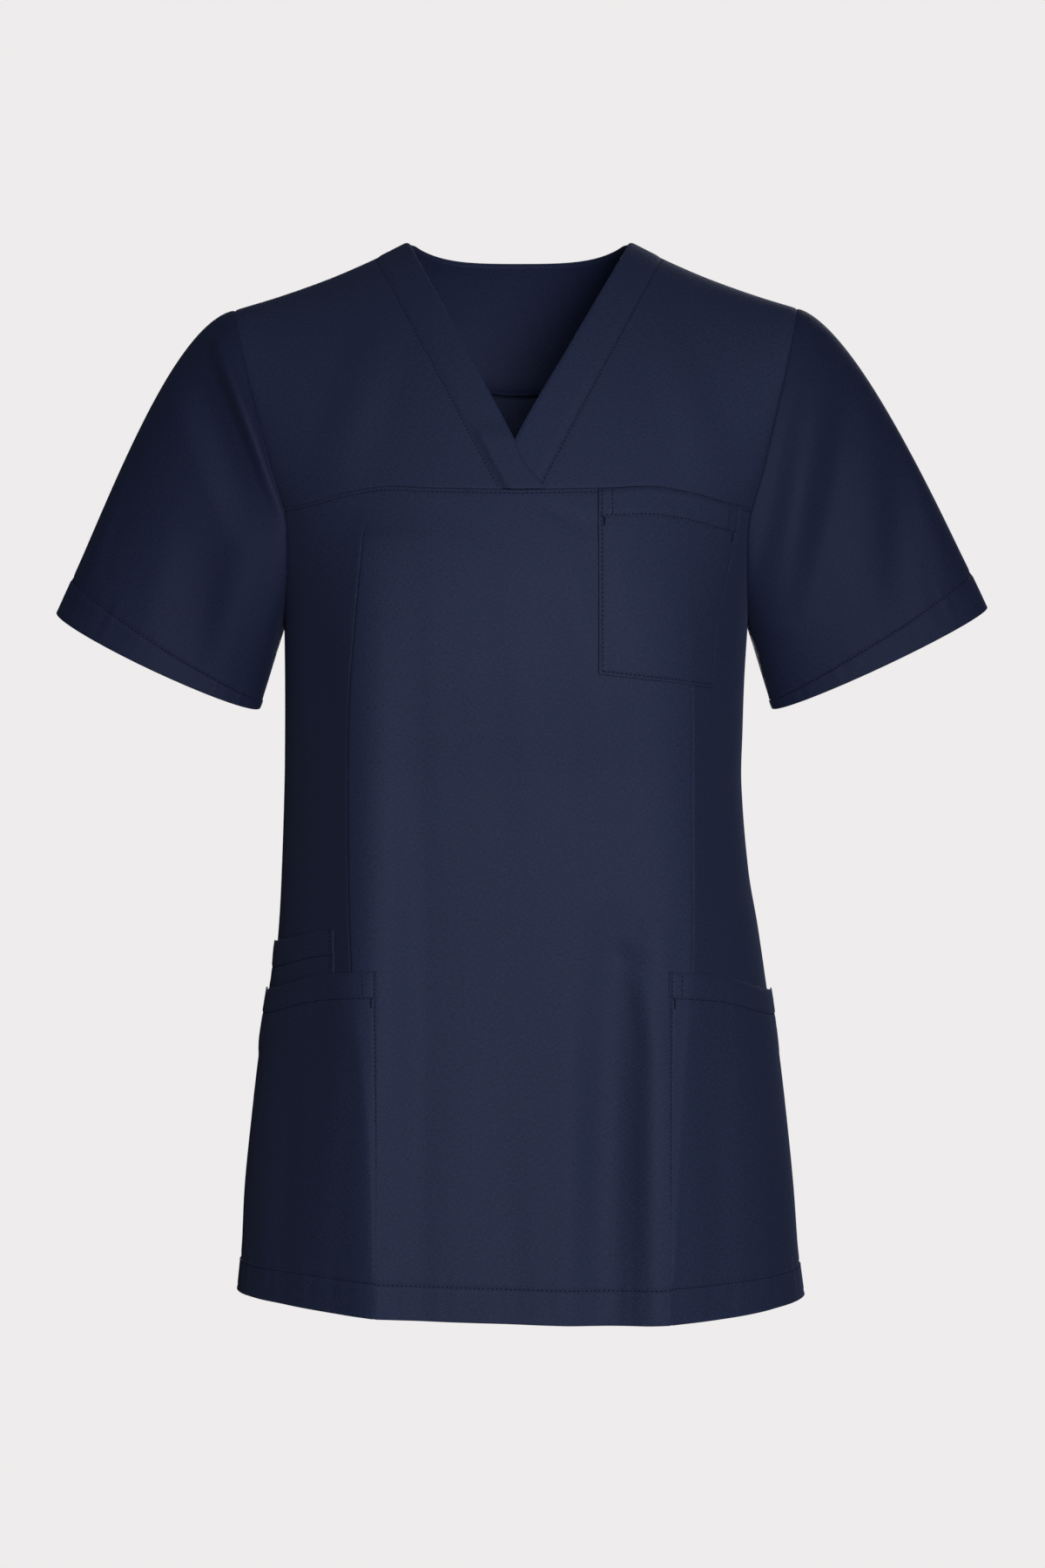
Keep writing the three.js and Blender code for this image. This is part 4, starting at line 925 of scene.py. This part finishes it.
def pocket(name, node, x, z, s, f, width, height, inset, hand, turn, lines, hem=0):
    """A patch on the lower front: grid points moved out by their inset and the cloth; the edge
    stitches pull it in, the mouth band stands out above its row of stitches, and a pocket that
    reaches the hem is turned up with it. A line of stitches is level, upright or a bar tack, and
    has its place in millimetres and its two ends as shares."""
    edge = np.minimum(np.minimum(s, 1 - s) * width, f * height)
    down = (1 - f) * height
    shift = (0.4 * (1 - smooth(down, turn - 0.6, turn + 1.2))
             + row_pull(down - turn, 0.7, 1.0) + row_pull(edge - 2, 0.45, 0.9)
             + 0.25 * puckers(s * width, 2.2) * np.exp(-np.abs(down - turn) / 8)
             + 0.15 * puckers(f * height, 0.9) * np.exp(-edge / 5))
    if hem:
        shift = shift + hem_shape(z - hem_height(FRONT, x), s * width, hem)
    normal = body_normal(FRONT, x, z)
    points = body_point(FRONT, x, z) + normal * (inset + 1.1 + shift)[..., None]
    if hand < 0:
        points = points[:, ::-1]
    patch = cloth_wall(name, points, POCKET_CLOTH)
    made, tacks = [], []
    for kind, at, start, end in lines:
        spread = np.linspace(start, end, 260)
        level = kind == "level"
        row = index_at(1 - at / height if level else spread, f[:, 0])
        column = index_at(spread if level else at / width, s[0])
        if hand < 0:
            column = s.shape[1] - 1 - column
        (tacks if kind == "tack" else made).append(line_on(points, False, row, column))
    sewing = [stitch_row(name + "_stitching", made)]
    if tacks:
        sewing.append(stitch_row(name + "_bar_tacks", tacks, pitch=0.6, length=0.55, thread=1.3))
    join_top(patch, navy_cloth)
    for row in sewing:
        join_top(row, navy_thread)
    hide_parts(node)


POCKET_FINE = (0, 0.5, 1.2, 1.6, 2.0, 2.4, 3.0, 4.2)
MOUTH_FINE = (0, 4, 8, 12, 14.5, 15.6, 16.3, 17, 17.6, 18.4, 20)


def side_x(hand, part, z):
    """x at a share of the way round from a dart to the side seam."""
    dart = x_to_across(FRONT, dart_line(hand, z), z)
    return across_to_x(FRONT, lerp(dart, hand, part), z, 0 * z)


def chest_pocket():
    """Across from its straight inner edge to its slanting outer one, up to just below the seam."""
    width, height = 88, 128
    across = spaced(width, 1.7, POCKET_FINE, POCKET_FINE)
    up = spaced(height, 1.8, POCKET_FINE, (0, 4, 8, 12, 15, 16.5, 17.2, 18, 18.6, 19.4, 21))
    s, f = np.broadcast_arrays(across[None], up[:, None])

    def x_of(z, _):
        dart = curve(z, DART_Z, DART_LEFT)
        outer = curve(z, CHEST_OUTER_Z, CHEST_OUTER_X)
        return np.where(s < 0.6, lerp(52.6, dart, s / 0.6), lerp(dart, outer, s / 0.4 - 1.5))

    def z_of(x):
        return lerp(curve(x, CHEST_LOW_X, CHEST_LOW_Z), seam_height(x) - 1.4, f)

    x, z = settle(x_of, z_of, 80 + 0 * s)
    lines = [("level", 18, 0.01, 0.99), ("level", 126, 0.02, 0.98),
             ("upright", 2, 0.01, 1), ("upright", 86, 0.01, 1),
             ("upright", 8.5, 0.86, 1), ("upright", 81, 0.86, 1),
             ("tack", 3.5, 0.8, 0.85), ("tack", 84.5, 0.8, 0.85)]
    pocket("chest_pocket_cloth", "chest_pocket", x, z, s, f, width, height, 0.9 + 1.0 * belly(s, f), 1, 18,
           lines)


def hip_pocket(hand, name, node, inner, lift):
    """From its inner edge round to the side seam, and from the hem up to its mouth."""
    width, height = 150, 225
    across = spaced(width, 2.0, POCKET_FINE, (0, 0.5, 1.2, 2.4, 4.2))
    up = spaced(height, 2.4, HEM_FINE, MOUTH_FINE)
    s, f = np.broadcast_arrays(across[None], up[:, None])

    def x_of(z, _):
        step = s * 9 - 1
        out = side_x(hand, np.clip(step / 8, 0, 0.97), z)
        return np.where(step < 0, lerp(hand * inner, side_x(hand, 0, z), s * 9), out)

    def z_of(x):
        return lerp(hem_height(FRONT, x) + 0.3, curve(np.abs(x), MOUTH_X, MOUTH_Z), f)

    x, z = settle(x_of, z_of, hand * inner + 0 * s)
    mouth = smooth(f, 0.76, 0.85) * smooth(s, 0, 0.2)
    inset = 0.9 + np.maximum(1.5 * belly(s, f), lift * mouth)
    lines = [("level", 17, 0.01, 0.99), ("level", height - HEM_TURN, 0.01, 0.99),
             ("upright", 2, 0.01, 1), ("upright", 9, 0.93, 1), ("tack", 4, 0.895, 0.925)]
    pocket(name, node, x, z, s, f, width, height, inset, hand, 17, lines, 1.9)


def utility_pocket():
    """From its inner edge round to the side seam, its lower end behind the hip pocket's mouth."""
    width, height, inner = 62, 42, -122
    across = spaced(width, 1.6, POCKET_FINE, (0, 1.2, 3.0))
    up = spaced(height, 1.5, (0, 1, 2.4), MOUTH_FINE[:-1])
    s, f = np.broadcast_arrays(across[None], up[:, None])

    def x_of(z, _):
        out = side_x(-1, np.clip(lerp(1, 8, s) / 8, 0, 0.97), z)
        return out + (inner - side_x(-1, 1 / 8, z)) * np.maximum(0, 1 - s * 7)

    def z_of(x):
        reach = np.abs(x)
        return lerp(curve(reach, MOUTH_X, MOUTH_Z) - 12, curve(reach, UTILITY_X, UTILITY_Z), f)

    x, z = settle(x_of, z_of, inner + 0 * s)
    pocket("utility_pocket_cloth", "utility_pocket", x, z, s, f, width, height, 0.8 + 0 * s, -1, 16.5,
           [("level", 16.5, 0.02, 0.99), ("upright", 2, 0.3, 1)])


chest_pocket()
utility_pocket()
hip_pocket(-1, "hip_pocket_right_cloth", "hip_pocket_right", 93.5, 1.8)
hip_pocket(1, "hip_pocket_left_cloth", "hip_pocket_left", 99, 0.9)


# Floor, light, camera
# A pale matt floor and a pale lit backdrop, a large soft light in front, a little to the right, with
# a weak one beside it, two more behind for the back, and a long lens level with the middle.
def stage_sheet(name, corners, faces, material):
    """A stage piece from corners in metres. It shows, but throws no light on the garment."""
    mesh = bpy.data.meshes.new(name)
    mesh.from_pydata(corners, [], faces)
    sheet = bpy.data.objects.new(name, mesh)
    bpy.context.scene.collection.objects.link(sheet)
    sheet.data.materials.append(material)
    sheet.visible_diffuse = False
    sheet.visible_glossy = False


FLOOR_Z = -1.9
STAGE_REACH = 5
RING_COUNT = 64
floor_paint = new_material("matt_floor_paint", Base_Color=srgb("dcdad8"), Roughness=0.9,
                           Emission_Color=srgb("dcdad8"), Emission_Strength=0.7)
backdrop_paper = new_material("lit_backdrop_paper", Base_Color=(0, 0, 0, 1), Roughness=1.0,
                              Specular_IOR_Level=0.0, Emission_Color=srgb("eeecec"), Emission_Strength=1.0)
corners = [(x * STAGE_REACH, y * STAGE_REACH, FLOOR_Z) for x, y in ((-1, -1), (1, -1), (1, 1), (-1, 1))]
stage_sheet("floor", corners, [(0, 1, 2, 3)], floor_paint)
turns = np.linspace(0, 2 * math.pi, RING_COUNT + 1)[:-1]
ring = [(STAGE_REACH * math.cos(a), STAGE_REACH * math.sin(a)) for a in turns]
walls = [(i, i + RING_COUNT, (i + 1) % RING_COUNT + RING_COUNT, (i + 1) % RING_COUNT)
         for i in range(RING_COUNT)]
ceiling = tuple(range(RING_COUNT, 2 * RING_COUNT))
stage_sheet("backdrop", [(x, y, z) for z in (FLOOR_Z, STAGE_REACH) for x, y in ring],
            walls + [ceiling], backdrop_paper)

scene = bpy.context.scene
world = scene.world or bpy.data.worlds.new("room")
scene.world = world
world.use_nodes = True
world.node_tree.nodes["Background"].inputs["Color"].default_value = (0.86, 0.88, 0.92, 1)
world.node_tree.nodes["Background"].inputs["Strength"].default_value = 0.04


def soft_light(name, place, target, width, height, power):
    """A rectangular area light turned to face its target."""
    light = bpy.data.lights.new(name, "AREA")
    light.shape = "RECTANGLE"
    light.size, light.size_y, light.energy = width, height, power
    lamp = bpy.data.objects.new(name, light)
    lamp.visible_camera = False
    bpy.context.scene.collection.objects.link(lamp)
    start, end = np.array(place, float), np.array(target, float)
    ahead = (end - start) / np.linalg.norm(end - start)
    pitch = math.acos(-ahead[2])
    lamp.location = place
    lamp.rotation_euler = (pitch, 0, math.atan2(-ahead[0], ahead[1]))


soft_light("key_light", (0.5, -2.75, -0.2), (0, 0, -0.38), 1.1, 1.2, 57)
soft_light("fill_light", (1.6, -1.6, 0.3), (0.1, 0, -0.2), 0.8, 1.2, 1)
soft_light("back_light", (-0.2, 2.8, 0.2), (0, 0, -0.38), 0.8, 1.2, 44)
soft_light("back_fill_light", (1.0, 2.4, 1.3), (0, 0, -0.3), 0.7, 0.9, 10)

lens = bpy.data.cameras.new("camera")
lens.lens = 100
lens.sensor_width = 36
lens.sensor_fit = "AUTO"
camera = bpy.data.objects.new("camera", lens)
scene.collection.objects.link(camera)
camera.location = (0.0024, -3.0, -0.373)
camera.rotation_euler = (math.pi / 2, 0, 0)
bpy.context.scene.camera = camera
scene.view_settings.view_transform = "Standard"
